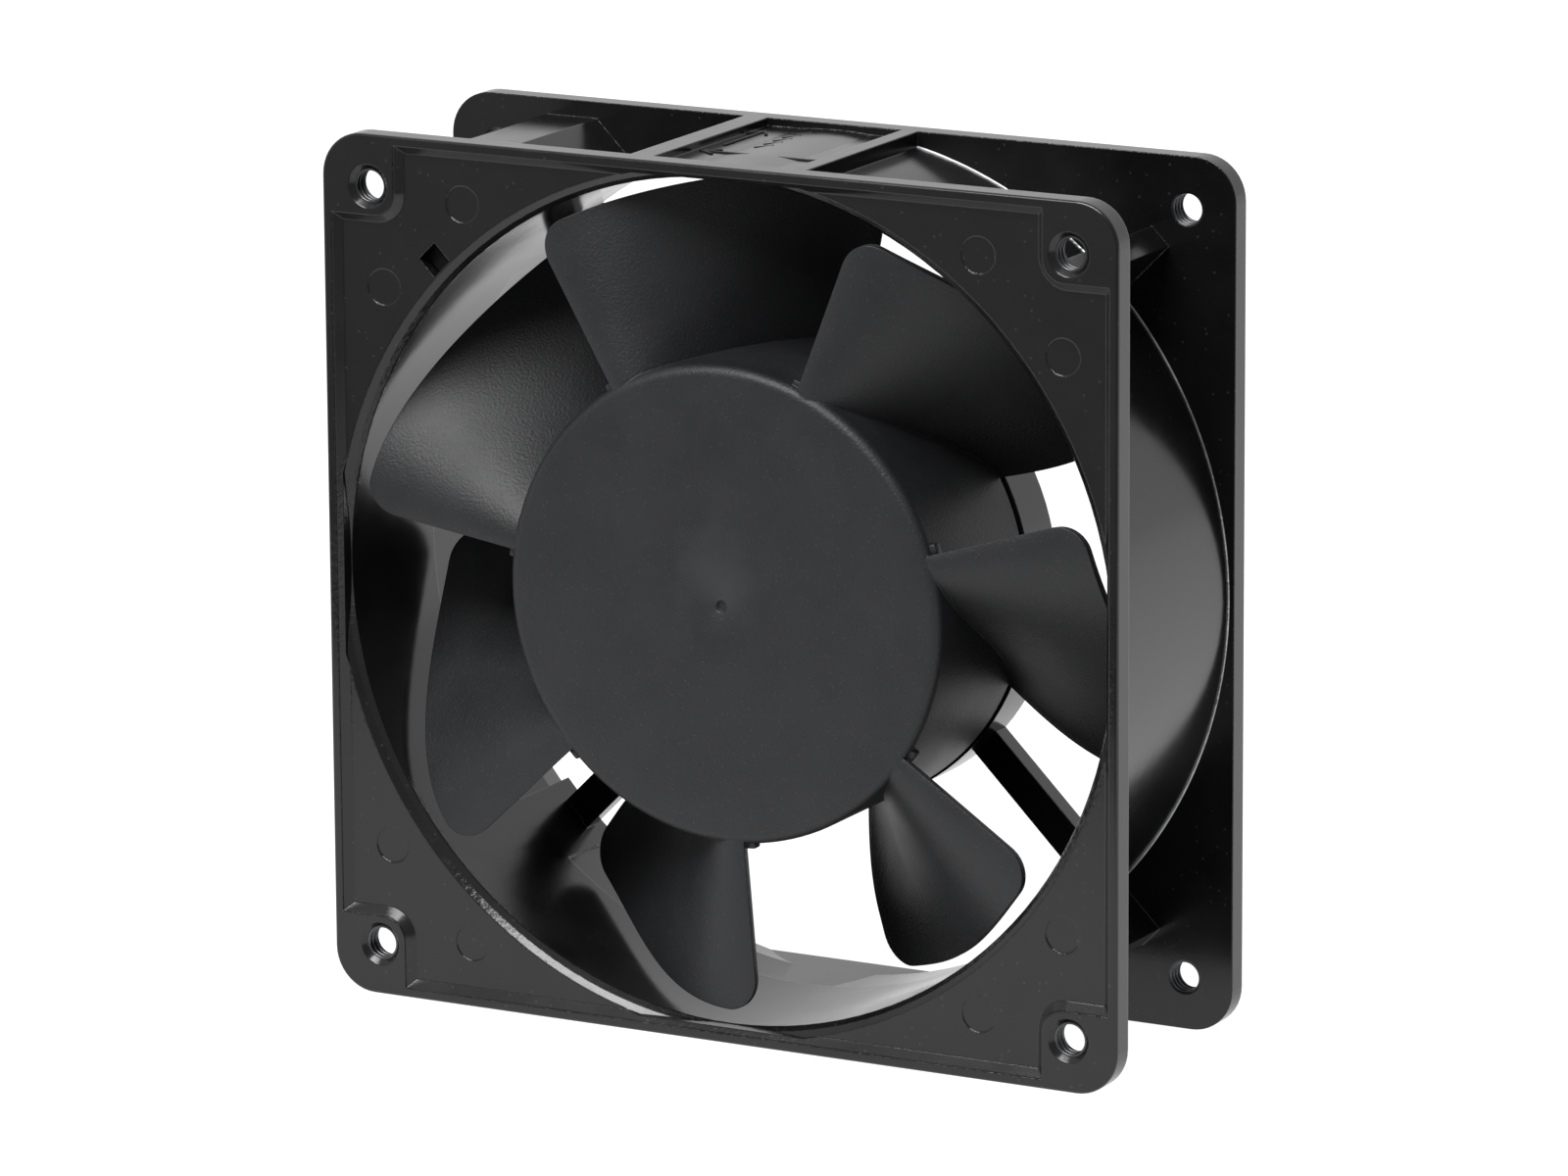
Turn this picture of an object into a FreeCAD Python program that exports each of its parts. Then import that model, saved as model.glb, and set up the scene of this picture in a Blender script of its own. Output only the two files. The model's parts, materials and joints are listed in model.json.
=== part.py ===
"""Axial case fan, 119 mm square and 38 mm deep, with a shaded-pole external-rotor motor.

Frame: +Z up, rotor axis along Y, the air inlet (front) at -Y, the motor side (rear) at +Y.
The origin is on the rotor's axis, halfway through the fan's depth. Lengths are millimetres.
"""
import FreeCAD, Part
import math
import os

from FreeCAD import Rotation, Vector

OUT = "parts"

SIZES = {
    "half_width": 59.5,
    "half_depth": 19.0,
    "overrun": 1.0,
    "bite": 0.5,
    "fit_gap": 0.1,
    "flange_thickness": 3.35,
    "flange_corner": 6.0,
    "flange_edge_round": 0.4,
    "rim_inner": 58.2,
    "recess_depth": 1.3,
    "recess_slope": 1.1,
    "recess_margin": 0.5,
    "pad_inner": 48.5,
    "pad_corner": 3.2,
    "hole_place": 52.4,
    "hole_radius": 2.25,
    "countersink_radius": 3.02,
    "pin_mark_radius": 2.5,
    "pin_mark_depth": 0.15,
    "pin_mark_near": 38.6,
    "pin_mark_far": 50.9,
    "tube_radius": 58.65,
    "duct_flat": 57.55,
    "throat_radius": 57.45,
    "lip_front_radius": 58.9,
    "lip_front_depth": 1.5,
    "lip_share_deep": 0.4,
    "lip_share_out": 0.55,
    "parting_line": 5.5,
    "parting_step": 0.2,
    "draft_radius": 57.9,
    "rear_lip_start": 14.0,
    "lip_rear_radius": 58.9,
    "tube_inset": 2.0,
    "panel_start": 55.0,
    "panel_height": 58.4,
    "panel_left": -13.9,
    "panel_right": 12.4,
    "panel_rib_left": 3.5,
    "panel_rib_right": 2.4,
    "rib_start": 57.9,
    "rib_width": 3.6,
    "rib_reach_long": 68.5,
    "rib_reach_short": 67.0,
    "pocket_inner": 8.8,
    "pocket_outer": 14.4,
    "pocket_cut": 57.2,
    "pocket_reach": 74.0,
    "pocket_start": 56.0,
    "strut_width": 4.9,
    "strut_front": 14.8,
    "strut_rear": 17.2,
    "strut_ridge": 1.0,
    "strut_ridge_height": 0.5,
    "foot_width": 10.6,
    "foot_inset": 0.3,
    "base_radius": 32.75,
    "base_inner": 31.1,
    "base_front": 8.8,
    "base_floor": 15.0,
    "base_chamfer": 0.5,
    "label_radius": 27.0,
    "label_recess": 0.4,
    "label_thickness": 0.25,
    "label_gap": 0.2,
    "channel_width": 3.4,
    "channel_front": 15.3,
    "channel_inner": 17.5,
    "inlet_length": 4.0,
    "port_near": 59.0,
    "port_far": 64.0,
    "port_half": 6.0,
    "lock_place": 60.8,
    "lock_side": 3.3,
    "sleeve_radius": 8.5,
    "sleeve_shoulder": 5.0,
    "sleeve_front": -11.6,
    "bearing_outer": 6.5,
    "bearing_outer_land": 5.55,
    "bearing_inner_land": 3.95,
    "bearing_width": 4.0,
    "bearing_pitch": 4.75,
    "ball_radius": 0.8,
    "ball_count": 8,
    "race_clearance": 0.02,
    "shield_thickness": 0.3,
    "shield_seat": 0.2,
    "shield_inner": 4.1,
    "front_bearing_front": -11.0,
    "rear_bearing_front": 9.6,
    "cage_width": 2.2,
    "cage_half": 0.35,
    "shaft_radius": 2.5,
    "shaft_chamfer": 0.3,
    "shaft_front": -15.4,
    "shaft_rear": 15.4,
    "clip_groove_radius": 2.0,
    "clip_front": 13.95,
    "clip_thickness": 0.5,
    "clip_radius": 3.7,
    "clip_slot_half": 1.4,
    "clip_slot_angle": 270.0,
    "shim_thickness": 0.3,
    "shim_radius": 3.8,
    "spring_radius": 3.3,
    "spring_wire": 0.3,
    "spring_turns": 2,
    "core_front": -8.0,
    "core_rear": 4.0,
    "core_radius": 25.7,
    "shoe_inner": 22.8,
    "shoe_gap": 3.0,
    "pole_width": 9.0,
    "arm_start": 11.2,
    "yoke_radius": 13.2,
    "insulator_thickness": 0.8,
    "insulator_wall": 4.6,
    "insulator_wall_near": 20.1,
    "insulator_wall_far": 21.1,
    "insulator_wall_half": 6.5,
    "coil_inner": 14.4,
    "coil_outer": 20.0,
    "coil_clearance": 0.3,
    "coil_thickness": 4.4,
    "coil_round": 2.6,
    "shading_bar": 1.1,
    "shading_angle": 24.0,
    "shading_bar_angle": 1.15,
    "shading_tip_angle": 41.7,
    "shading_slot_depth": 2.2,
    "rotor_core_inner": 26.0,
    "rotor_core_outer": 29.9,
    "rotor_core_front": -8.5,
    "rotor_core_rear": 4.5,
    "cage_ring": 1.5,
    "cage_ring_inner": 26.6,
    "cage_ring_outer": 29.4,
    "cage_bar_radius": 0.9,
    "cage_bar_place": 28.0,
    "cage_bars": 20,
    "cup_outer": 30.9,
    "cup_inner": 29.9,
    "cup_front": -15.6,
    "cup_wall": 1.0,
    "cup_rear": 7.4,
    "cup_hole": 4.0,
    "boss_radius": 7.0,
    "boss_rear": -13.0,
    "hub_radius": 32.5,
    "hub_front": -17.2,
    "hub_rear": 8.2,
    "hub_round": 1.5,
    "dimple_radius": 0.8,
    "dimple_depth": 0.5,
    "blade_count": 7,
    "blade_angle": 17.7,
    "blade_span": 44.7,
    "blade_span_root": 40.3,
    "span_growth": 1.5,
    "span_floor": -0.1,
    "trail_bow": 0.6,
    "blade_tip": 55.5,
    "blade_corner": 4.5,
    "blade_root_thickness": 1.7,
    "blade_tip_thickness": 1.1,
    "blade_root": 31.6,
    "camber_lead": -15.9,
    "camber_dip": -18.5,
    "camber_rise": 5.3,
    "camber_trail": 8.7,
    "blade_rear": 8.2,
    "tab_step": 1.0,
    "tab_step_width": 2.3,
    "tab_step_length": 2.2,
    "tab_lead": 0.3,
    "tab_back": 0.2,
    "holder_half": 8.7,
    "holder_near": 59.0,
    "holder_far": 65.0,
    "holder_depth": 15.6,
    "holder_rear": 15.2,
    "seat_gap": 0.02,
    "holder_lock": 0.3,
    "spade_width": 2.8,
    "spade_thickness": 0.5,
    "spade_place": 4.5,
    "spade_inner": 60.2,
    "spade_outer": 72.0,
    "spade_taper": 1.0,
    "spade_taper_side": 0.7,
    "lead_radius": 0.7,
    "lead_place": 0.8,
    "lead_depth": 16.05,
    "lead_turn": 62.2,
    "lead_start": 19.5,
    "lead_root": 11.0,
    "lead_knee": 59.5,
    "lead_bend": 1.2,
}

doc = FreeCAD.newDocument("case_fan")
sheet = doc.addObject("Spreadsheet::Sheet", "Sizes")
for row, (alias, number) in enumerate(SIZES.items(), start=1):
    sheet.set(f"A{row}", alias)
    sheet.set(f"B{row}", str(number))
    sheet.setAlias(f"B{row}", alias)
doc.recompute()

NODES = []
AXIAL = Rotation(Vector(1, 0, 0), -90)
TOUCH = 1e-4
POLES = 4
POLE_STEP = 360 / POLES
DIAGONALS = {"right_upper": 45, "left_upper": 135, "left_lower": 225, "right_lower": 315}


def linked(expression):
    """The expression with every size name read from the sheet."""
    words = []
    for word in str(expression).split():
        bare = word.strip("()-")
        words.append(word.replace(bare, "Sizes." + bare) if bare in SIZES else word)
    return " ".join(words)


def number(expression):
    """The expression's value in millimetres."""
    return float(sheet.evalExpression(linked(expression)))


def bind(item, **links):
    """Bind properties of an object to expressions; double underscores stand for dots."""
    for place, expression in links.items():
        item.setExpression(place.replace("__", "."), linked(expression))
    return item


def keep(item, label):
    """Name a finished sub-part and list it as a node."""
    item.Label = label
    NODES.append(item)
    return item


def disc(name, radius, front, rear, x="0", z="0"):
    """Cylinder along the rotor's axis between two depths."""
    item = doc.addObject("Part::Cylinder", name)
    item.Placement.Rotation = AXIAL
    bind(item, Radius=radius, Height=f"{rear} - ({front})", Placement__Base__x=x)
    return bind(item, Placement__Base__y=front, Placement__Base__z=z)


def cone(name, front_radius, rear_radius, front, rear, x="0", z="0"):
    """Cone along the rotor's axis between two depths."""
    item = doc.addObject("Part::Cone", name)
    item.Placement.Rotation = AXIAL
    bind(item, Radius1=front_radius, Radius2=rear_radius, Height=f"{rear} - ({front})")
    return bind(item, Placement__Base__x=x, Placement__Base__y=front, Placement__Base__z=z)


def block(name, low, high, angle=0.0):
    """Box between two corners, turned as a whole about the rotor's axis by angle degrees.

    Unturned, the corners are (x, y, z); turned, x runs out along the radius at that angle.
    """
    item = doc.addObject("Part::Box", name)
    turn = Rotation(Vector(0, -1, 0), angle)
    item.Placement.Rotation = turn
    sides = [f"{b} - ({a})" for a, b in zip(low, high)]
    bind(item, Length=sides[0], Width=sides[1], Height=sides[2])
    c, s = round(math.cos(math.radians(angle)), 9), round(math.sin(math.radians(angle)), 9)
    bind(item, Placement__Base__x=f"( {low[0]} ) * {c} - ( {low[2]} ) * {s}")
    bind(item, Placement__Base__z=f"( {low[0]} ) * {s} + ( {low[2]} ) * {c}")
    return bind(item, Placement__Base__y=low[1])


def cut(name, base, *tools):
    """Base minus every tool."""
    tool = tools[0] if len(tools) == 1 else fuse(name + "_tools", *tools)
    item = doc.addObject("Part::Cut", name)
    item.Base = base
    item.Tool = tool
    item.Refine = True
    return item


def fuse(name, *pieces):
    """All the pieces as one solid."""
    item = doc.addObject("Part::MultiFuse", name)
    item.Shapes = list(pieces)
    item.Refine = True
    return item


def common(name, *pieces):
    """What the pieces share."""
    item = doc.addObject("Part::MultiCommon", name)
    item.Shapes = list(pieces)
    return item


def fixed_shape(name, shape):
    """Feature whose shape is computed by this file from the sheet's sizes."""
    item = doc.addObject("Part::Feature", name)
    item.Shape = shape
    return item


def outline_sketch(body, plane, corners, offset=None):
    """Closed outline of straight lines whose corners are bound to pairs of expressions."""
    sketch = body.newObject("Sketcher::SketchObject", body.Name + "_outline")
    support = next(o for o in body.Origin.OriginFeatures if o.Role == plane)
    sketch.AttachmentSupport = [(support, "")]
    sketch.MapMode = "FlatFace"
    if offset is not None:
        bind(sketch, AttachmentOffset__Base__z=offset)
    points = [Vector(number(a), number(b), 0) for a, b in corners]
    count = len(points)
    for i, point in enumerate(points):
        sketch.addGeometry(Part.LineSegment(point, points[(i + 1) % count]), False)
    for i in range(count):
        sketch.addConstraint(constraint("Coincident", i, 2, (i + 1) % count, 1))
    for i, (across, along) in enumerate(corners):
        for kind, expression, size in (("X", across, points[i].x), ("Y", along, points[i].y)):
            index = sketch.addConstraint(constraint("Distance" + kind, -1, 1, i, 1, size))
            sketch.renameConstraint(index, f"corner_{kind}{i}")
            sketch.setExpression(f"Constraints.corner_{kind}{i}", linked(expression))
    return sketch


def constraint(*words):
    """Sketcher constraint."""
    import Sketcher

    return Sketcher.Constraint(*words)


def turned(name, corners):
    """Body of revolution about the rotor's axis from corners of (radius, depth)."""
    body = doc.addObject("PartDesign::Body", name)
    sketch = outline_sketch(body, "XY_Plane", corners)
    turn = body.newObject("PartDesign::Revolution", name + "_turn")
    turn.Profile = sketch
    turn.ReferenceAxis = (sketch, ["V_Axis"])
    turn.Angle = 360
    return body


def prism(name, corners, front, rear):
    """Body padded from an outline of (x, z) corners, from the front depth to the rear depth."""
    body = doc.addObject("PartDesign::Body", name)
    sketch = outline_sketch(body, "XZ_Plane", corners, offset=f"-( {front} )")
    pad = body.newObject("PartDesign::Pad", name + "_pad")
    pad.Profile = sketch
    pad.Reversed = True
    bind(pad, Length=f"{rear} - ( {front} )")
    doc.recompute()
    return body


def rounded(body, radius, chosen, name):
    """Fillet the edges of the body's tip that a test picks out."""
    base = body.Tip
    edges = [f"Edge{i}" for i, e in enumerate(base.Shape.Edges, start=1) if chosen(e)]
    fillet = body.newObject("PartDesign::Fillet", f"{body.Name}_{name}")
    fillet.Base = (base, edges)
    bind(fillet, Radius=radius)
    doc.recompute()
    return body


def spans_depth(edge):
    """Whether an edge runs from one depth to another."""
    return edge.BoundBox.YLength > TOUCH


def lies_at(depth):
    """Test for edges that lie in the plane of one depth."""
    return lambda edge: abs(edge.BoundBox.YMin - depth) < TOUCH and not spans_depth(edge)


def spun(item, name, angle):
    """Copy of a solid turned about the rotor's axis."""
    shape = item.Shape.copy()
    shape.rotate(Vector(0, 0, 0), Vector(0, -1, 0), angle)
    return fixed_shape(name, shape)


# ---------------------------------------------------------------- housing casting

def square(half):
    """Corners of a square about the rotor's axis."""
    return [(half, half), (f"-{half}", half), (f"-{half}", f"-{half}"), (half, f"-{half}")]


def flange(name, front, rear):
    """Square flange plate with rounded corners and slightly rounded edges."""
    plate = prism(name, square("half_width"), front, rear)
    rounded(plate, "flange_corner", spans_depth, "corners")
    outer = number(front) if number(front) < 0 else number(rear)
    return rounded(plate, "flange_edge_round", lies_at(outer), "edge")


def front_recess():
    """Cross-shaped recess in the front face, which leaves the rim and four corner pads."""
    rim, pad = "rim_inner", "pad_inner"
    signs = [(1, 1), (-1, 1), (-1, -1), (1, -1)]
    corners = []
    for i, (sx, sz) in enumerate(signs):
        wide = (f"{sx} * {rim}", f"{sz} * {pad}")
        mid = (f"{sx} * {pad}", f"{sz} * {pad}")
        tall = (f"{sx} * {pad}", f"{sz} * {rim}")
        corners += [wide, mid, tall] if i % 2 == 0 else [tall, mid, wide]
    body = prism("front_recess", corners, "-half_depth - recess_margin",
                 "-half_depth + recess_depth")

    def concave(edge):
        box = edge.BoundBox
        reach = max(abs(box.XMin), abs(box.XMax), abs(box.ZMin), abs(box.ZMax))
        return spans_depth(edge) and abs(reach - number(pad)) < TOUCH

    rounded(body, "pad_corner", concave, "pad_corners")
    floor = lies_at(number("-half_depth + recess_depth"))
    base = body.Tip
    edges = [f"Edge{i}" for i, e in enumerate(base.Shape.Edges, start=1) if floor(e)]
    slope = body.newObject("PartDesign::Chamfer", "recess_slope")
    slope.Base = (base, edges)
    bind(slope, Size="recess_slope")
    doc.recompute()
    return body


def duct_void():
    """Air passage: rounded inlet lip, throat, drafted rear and flared outlet, flat at four sides."""
    front = "-half_depth + recess_depth"
    mid = "lip_front_depth * lip_share_deep"
    swept = turned("duct_sweep", [
        ("0", "-half_depth - overrun"),
        ("lip_front_radius", "-half_depth - overrun"),
        ("lip_front_radius", front),
        ("lip_front_radius - lip_front_depth * lip_share_out", f"{front} + {mid}"),
        ("throat_radius", f"{front} + lip_front_depth"),
        ("throat_radius", "parting_line"),
        ("throat_radius + parting_step", "parting_line"),
        ("draft_radius", "rear_lip_start"),
        ("lip_rear_radius", "half_depth"),
        ("lip_rear_radius", "half_depth + overrun"),
        ("0", "half_depth + overrun"),
    ])
    square_duct = prism("duct_square", square("duct_flat"), "-half_depth - overrun",
                        "half_depth + overrun")
    return common("duct_void", swept, square_duct)


def corner_holes():
    """Mounting holes at the four corners, through both flanges, countersunk at the front."""
    tools = []
    for i, (sx, sz) in enumerate([(1, 1), (-1, 1), (-1, -1), (1, -1)]):
        x, z = f"{sx} * hole_place", f"{sz} * hole_place"
        tools.append(disc(f"hole_{i}", "hole_radius", "-half_depth - overrun",
                          "half_depth + overrun", x, z))
        tools.append(cone(f"countersink_{i}", "countersink_radius", "hole_radius",
                          "-half_depth", "-half_depth + countersink_radius - hole_radius", x, z))
    return tools


def pin_marks():
    """Shallow round moulding marks on the floor of the front recess."""
    tools = []
    floor = "-half_depth + recess_depth"
    for sx in (1, -1):
        for sz in (1, -1):
            for a, b in (("pin_mark_near", "pin_mark_far"), ("pin_mark_far", "pin_mark_near")):
                name = f"pin_mark_{len(tools)}"
                tools.append(disc(name, "pin_mark_radius", f"{floor} - overrun",
                                  f"{floor} + pin_mark_depth", f"{sx} * {a}", f"{sz} * {b}"))
    return tools


def struts():
    """Four flat diagonal struts, each with a thin ridge, and the wall pads they run into."""
    pieces = []
    half = "strut_width / 2"
    for name, angle in DIAGONALS.items():
        pieces.append(block(f"strut_{name}", ("base_inner + bite", "strut_front", f"-{half}"),
                            ("throat_radius + bite", "strut_rear", half), angle))
        ridge_front = "strut_front - strut_ridge_height"
        ridge_low = ("base_inner + bite", ridge_front, f"{half} - strut_ridge")
        pieces.append(block(f"strut_ridge_{name}", ridge_low,
                            ("throat_radius + bite", "strut_front + bite", half), angle))
        pad = block(f"foot_pad_{name}", ("base_radius", "parting_line", "-foot_width / 2"),
                    ("half_width", "half_depth - foot_inset", "foot_width / 2"), angle)
        wall = disc(f"foot_outer_{name}", "tube_radius", "parting_line", "half_depth - foot_inset")
        bore = disc(f"foot_bore_{name}", "throat_radius", "parting_line - overrun", "half_depth")
        pieces.append(common(f"foot_{name}", pad, cut(f"foot_ring_{name}", wall, bore)))
    return pieces


def motor_base():
    """Round cup that carries the motor: side wall, floor, bearing hole and label recess."""
    return turned("motor_base", [
        ("sleeve_radius", "base_floor"),
        ("base_inner", "base_floor"),
        ("base_inner", "base_front"),
        ("base_radius", "base_front"),
        ("base_radius", "strut_rear - base_chamfer"),
        ("base_radius - base_chamfer", "strut_rear"),
        ("label_radius", "strut_rear"),
        ("label_radius", "strut_rear - label_recess"),
        ("sleeve_radius", "strut_rear - label_recess"),
    ])


def terminal_pocket():
    """Two walls beside the left upper diagonal, between the flanges, that guard the terminals."""
    walls = []
    inner = "half_depth - flange_thickness"
    for side, (low, high) in {"a": ("pocket_inner", "pocket_outer"),
                              "b": ("-pocket_outer", "-pocket_inner")}.items():
        walls.append(block(f"pocket_wall_{side}", ("pocket_start", f"-( {inner} )", low),
                           ("pocket_reach", inner, high), DIAGONALS["left_upper"]))
    trim = prism("pocket_trim", square("pocket_cut"), f"-( {inner} )", inner)
    return common("terminal_pocket", fuse("pocket_walls", *walls), trim)


def housing():
    """The die-cast housing, one solid: flanges, tube, ribs, top panel, struts and motor base."""
    inner = "half_depth - flange_thickness"
    front = flange("front_flange", "-half_depth", f"-( {inner} )")
    rear = flange("rear_flange", inner, "half_depth")
    tube = disc("tube", "tube_radius", "-half_depth + tube_inset", "half_depth - tube_inset")
    panel = block("panel", ("panel_left", f"-( {inner} )", "panel_start"),
                  ("panel_right", inner, "panel_height"))
    ribs = [
        block("panel_rib_a", ("panel_left", f"-( {inner} )", "panel_start"),
              ("panel_left + panel_rib_left", inner, "half_width")),
        block("panel_rib_b", ("panel_right - panel_rib_right", f"-( {inner} )", "panel_start"),
              ("panel_right", inner, "half_width")),
    ]
    for name, angle in DIAGONALS.items():
        if name != "left_upper":
            reach = "rib_reach_long" if name == "right_upper" else "rib_reach_short"
            ribs.append(block(f"rib_{name}", ("rib_start", f"-( {inner} )", "-rib_width / 2"),
                              (reach, inner, "rib_width / 2"), angle))
    solid = fuse("casting_blank", front, rear, tube, panel, *ribs, terminal_pocket())
    opened = cut("casting_open", solid, duct_void(), front_recess(), *corner_holes(), *pin_marks())
    whole = fuse("casting_whole", opened, motor_base(), *struts())
    corner = DIAGONALS["left_upper"]
    lock = block("lock_hole", ("lock_place - lock_side / 2", "-half_depth - overrun", "-lock_side / 2"),
                 ("lock_place + lock_side / 2", "-half_depth + flange_thickness + overrun",
                  "lock_side / 2"), corner)
    channel = block("wire_channel", ("channel_inner", "channel_front", "-channel_width / 2"),
                    ("port_near + overrun", "half_depth + overrun", "channel_width / 2"), corner)
    inlet = block("wire_inlet", ("channel_inner", "base_floor - overrun", "-channel_width / 2"),
                  ("channel_inner + inlet_length", "half_depth", "channel_width / 2"), corner)
    port = block("terminal_port", ("port_near", f"{inner} - overrun", "-port_half"),
                 ("port_far", "half_depth + overrun", "port_half"), corner)
    return keep(cut("casting", whole, lock, channel, inlet, port), "housing")


# ---------------------------------------------------------------- bearings and shaft

def bearing_sleeve():
    """Turned sleeve pressed into the base, with a shoulder between the two bearings."""
    front_seat = "front_bearing_front + bearing_width"
    return keep(turned("sleeve", [
        ("bearing_outer", "sleeve_front"),
        ("sleeve_radius", "sleeve_front"),
        ("sleeve_radius", "strut_rear - label_recess"),
        ("bearing_outer", "strut_rear - label_recess"),
        ("bearing_outer", "rear_bearing_front"),
        ("sleeve_shoulder", "rear_bearing_front"),
        ("sleeve_shoulder", front_seat),
        ("bearing_outer", front_seat),
    ]), "bearing_sleeve")


def bearing(place, front):
    """One deep-groove bearing: two rings, two shields, a cage and eight balls."""
    centre = f"{front} + bearing_width / 2"
    rear = f"{front} + bearing_width"
    race = doc.addObject("Part::Torus", f"{place}_race")
    race.Placement.Rotation = AXIAL
    bind(race, Radius1="bearing_pitch", Radius2="ball_radius + race_clearance")
    bind(race, Placement__Base__y=centre)
    outer = turned(f"{place}_outer_blank", [
        ("bearing_outer_land", f"{front} + shield_thickness"),
        ("bearing_outer_land + shield_seat", f"{front} + shield_thickness"),
        ("bearing_outer_land + shield_seat", front),
        ("bearing_outer", front),
        ("bearing_outer", rear),
        ("bearing_outer_land + shield_seat", rear),
        ("bearing_outer_land + shield_seat", f"{rear} - shield_thickness"),
        ("bearing_outer_land", f"{rear} - shield_thickness"),
    ])
    keep(cut(f"{place}_outer", outer, race), f"{place}_bearing_outer_ring")
    inner = cut(f"{place}_inner_blank", disc(f"{place}_inner_land", "bearing_inner_land", front, rear),
                disc(f"{place}_inner_bore", "shaft_radius", f"{front} - overrun", f"{rear} + overrun"))
    inner_race = doc.addObject("Part::Torus", f"{place}_inner_race")
    inner_race.Placement.Rotation = AXIAL
    bind(inner_race, Radius1="bearing_pitch", Radius2="ball_radius + race_clearance")
    bind(inner_race, Placement__Base__y=centre)
    keep(cut(f"{place}_inner", inner, inner_race), f"{place}_bearing_inner_ring")
    shields = []
    for side, start in (("outside", front), ("inside", f"{rear} - shield_thickness")):
        end = f"{start} + shield_thickness"
        plate = disc(f"{place}_{side}_plate", "bearing_outer_land + shield_seat", start, end)
        hole = disc(f"{place}_{side}_hole", "shield_inner", f"{start} - overrun", f"{end} + overrun")
        shields.append(cut(f"{place}_{side}_shield", plate, hole))
    doc.recompute()
    pair = Part.makeCompound([shield.Shape for shield in shields])
    keep(fixed_shape(f"{place}_shield_pair", pair), f"{place}_bearing_shields")
    balls(place, number(centre))


def balls(place, centre):
    """Ball set and the cage that spaces it."""
    pitch, radius, count = number("bearing_pitch"), number("ball_radius"), SIZES["ball_count"]
    solids = []
    for i in range(count):
        turn = math.radians(360 * i / count)
        middle = Vector(pitch * math.cos(turn), centre, pitch * math.sin(turn))
        solids.append(Part.makeSphere(radius, middle))
    keep(fixed_shape(f"{place}_ball_set", Part.makeCompound(solids)), f"{place}_bearing_balls")
    half, thickness = number("cage_half"), number("cage_width")
    start = Vector(0, centre - thickness / 2, 0)
    along = Vector(0, 1, 0)
    ring = Part.makeCylinder(pitch + half, thickness, start, along)
    ring = ring.cut(Part.makeCylinder(pitch - half, thickness, start, along))
    pocket = radius + number("race_clearance")
    pockets = []
    for ball in solids:
        out = (ball.CenterOfMass - Vector(0, centre, 0)).normalize()
        pockets.append(Part.makeCylinder(pocket, 2 * pocket, ball.CenterOfMass - out * pocket, out))
    cage = ring.cut(Part.makeCompound(pockets))
    keep(fixed_shape(f"{place}_cage_ring", cage), f"{place}_bearing_cage")


def shaft():
    """Ground shaft with chamfered ends and a groove for the retaining clip."""
    return keep(turned("shaft_turned", [
        ("0", "shaft_front"),
        ("shaft_radius - shaft_chamfer", "shaft_front"),
        ("shaft_radius", "shaft_front + shaft_chamfer"),
        ("shaft_radius", "clip_front"),
        ("clip_groove_radius", "clip_front"),
        ("clip_groove_radius", "clip_front + clip_thickness"),
        ("shaft_radius", "clip_front + clip_thickness"),
        ("shaft_radius", "shaft_rear - shaft_chamfer"),
        ("shaft_radius - shaft_chamfer", "shaft_rear"),
        ("0", "shaft_rear"),
    ]), "shaft")


def shaft_hardware():
    """Shim washers, preload spring and the split retaining clip."""
    spring_rear = "front_bearing_front - shim_thickness"
    for label, start in (("front_shim_washer", spring_rear),
                         ("rear_shim_washer", "rear_bearing_front + bearing_width")):
        end = f"{start} + shim_thickness"
        washer = cut(label + "_cut", disc(label + "_disc", "shim_radius", start, end),
                     disc(label + "_hole", "shaft_radius", f"{start} - overrun", f"{end} + overrun"))
        keep(washer, label)
    clip_rear = "clip_front + clip_thickness"
    clip = cut("clip_ring", disc("clip_disc", "clip_radius", "clip_front", clip_rear),
               disc("clip_hole", "clip_groove_radius", "clip_front - overrun", f"{clip_rear} + overrun"),
               block("clip_slot", ("0", "clip_front - overrun", "-clip_slot_half"),
                     ("clip_radius + overrun", f"{clip_rear} + overrun", "clip_slot_half"),
                     SIZES["clip_slot_angle"]))
    keep(clip, "retaining_clip")
    front, rear, wire = number("boss_rear"), number(spring_rear), number("spring_wire")
    height = rear - front - 2 * wire
    radius = number("spring_radius")
    path = Part.makeHelix(height / SIZES["spring_turns"], height, radius)
    start = Part.Circle(Vector(radius, 0, 0), Vector(0, 1, 0), wire).toShape()
    coil = Part.Wire(path.Edges).makePipeShell([Part.Wire(start)], True, True)
    coil.Placement = FreeCAD.Placement(Vector(0, front + wire, 0), AXIAL)
    keep(fixed_shape("spring_coil", coil), "preload_spring")


# ---------------------------------------------------------------- stator

def stator_outline_pieces(name, front, rear):
    """Yoke, four pole arms and pole shoes between two depths, as a list of solids to fuse."""
    pieces = [disc(f"{name}_yoke", "yoke_radius", front, rear)]
    rim = cut(f"{name}_shoes", disc(f"{name}_rim", "core_radius", front, rear),
              disc(f"{name}_rim_bore", "shoe_inner", f"{front} - overrun", f"{rear} + overrun"))
    pieces.append(rim)
    for i in range(POLES):
        pieces.append(block(f"{name}_arm_{i}", ("arm_start", front, "-pole_width / 2"),
                            ("shoe_inner + bite", rear, "pole_width / 2"), POLE_STEP * i))
    return pieces


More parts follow.
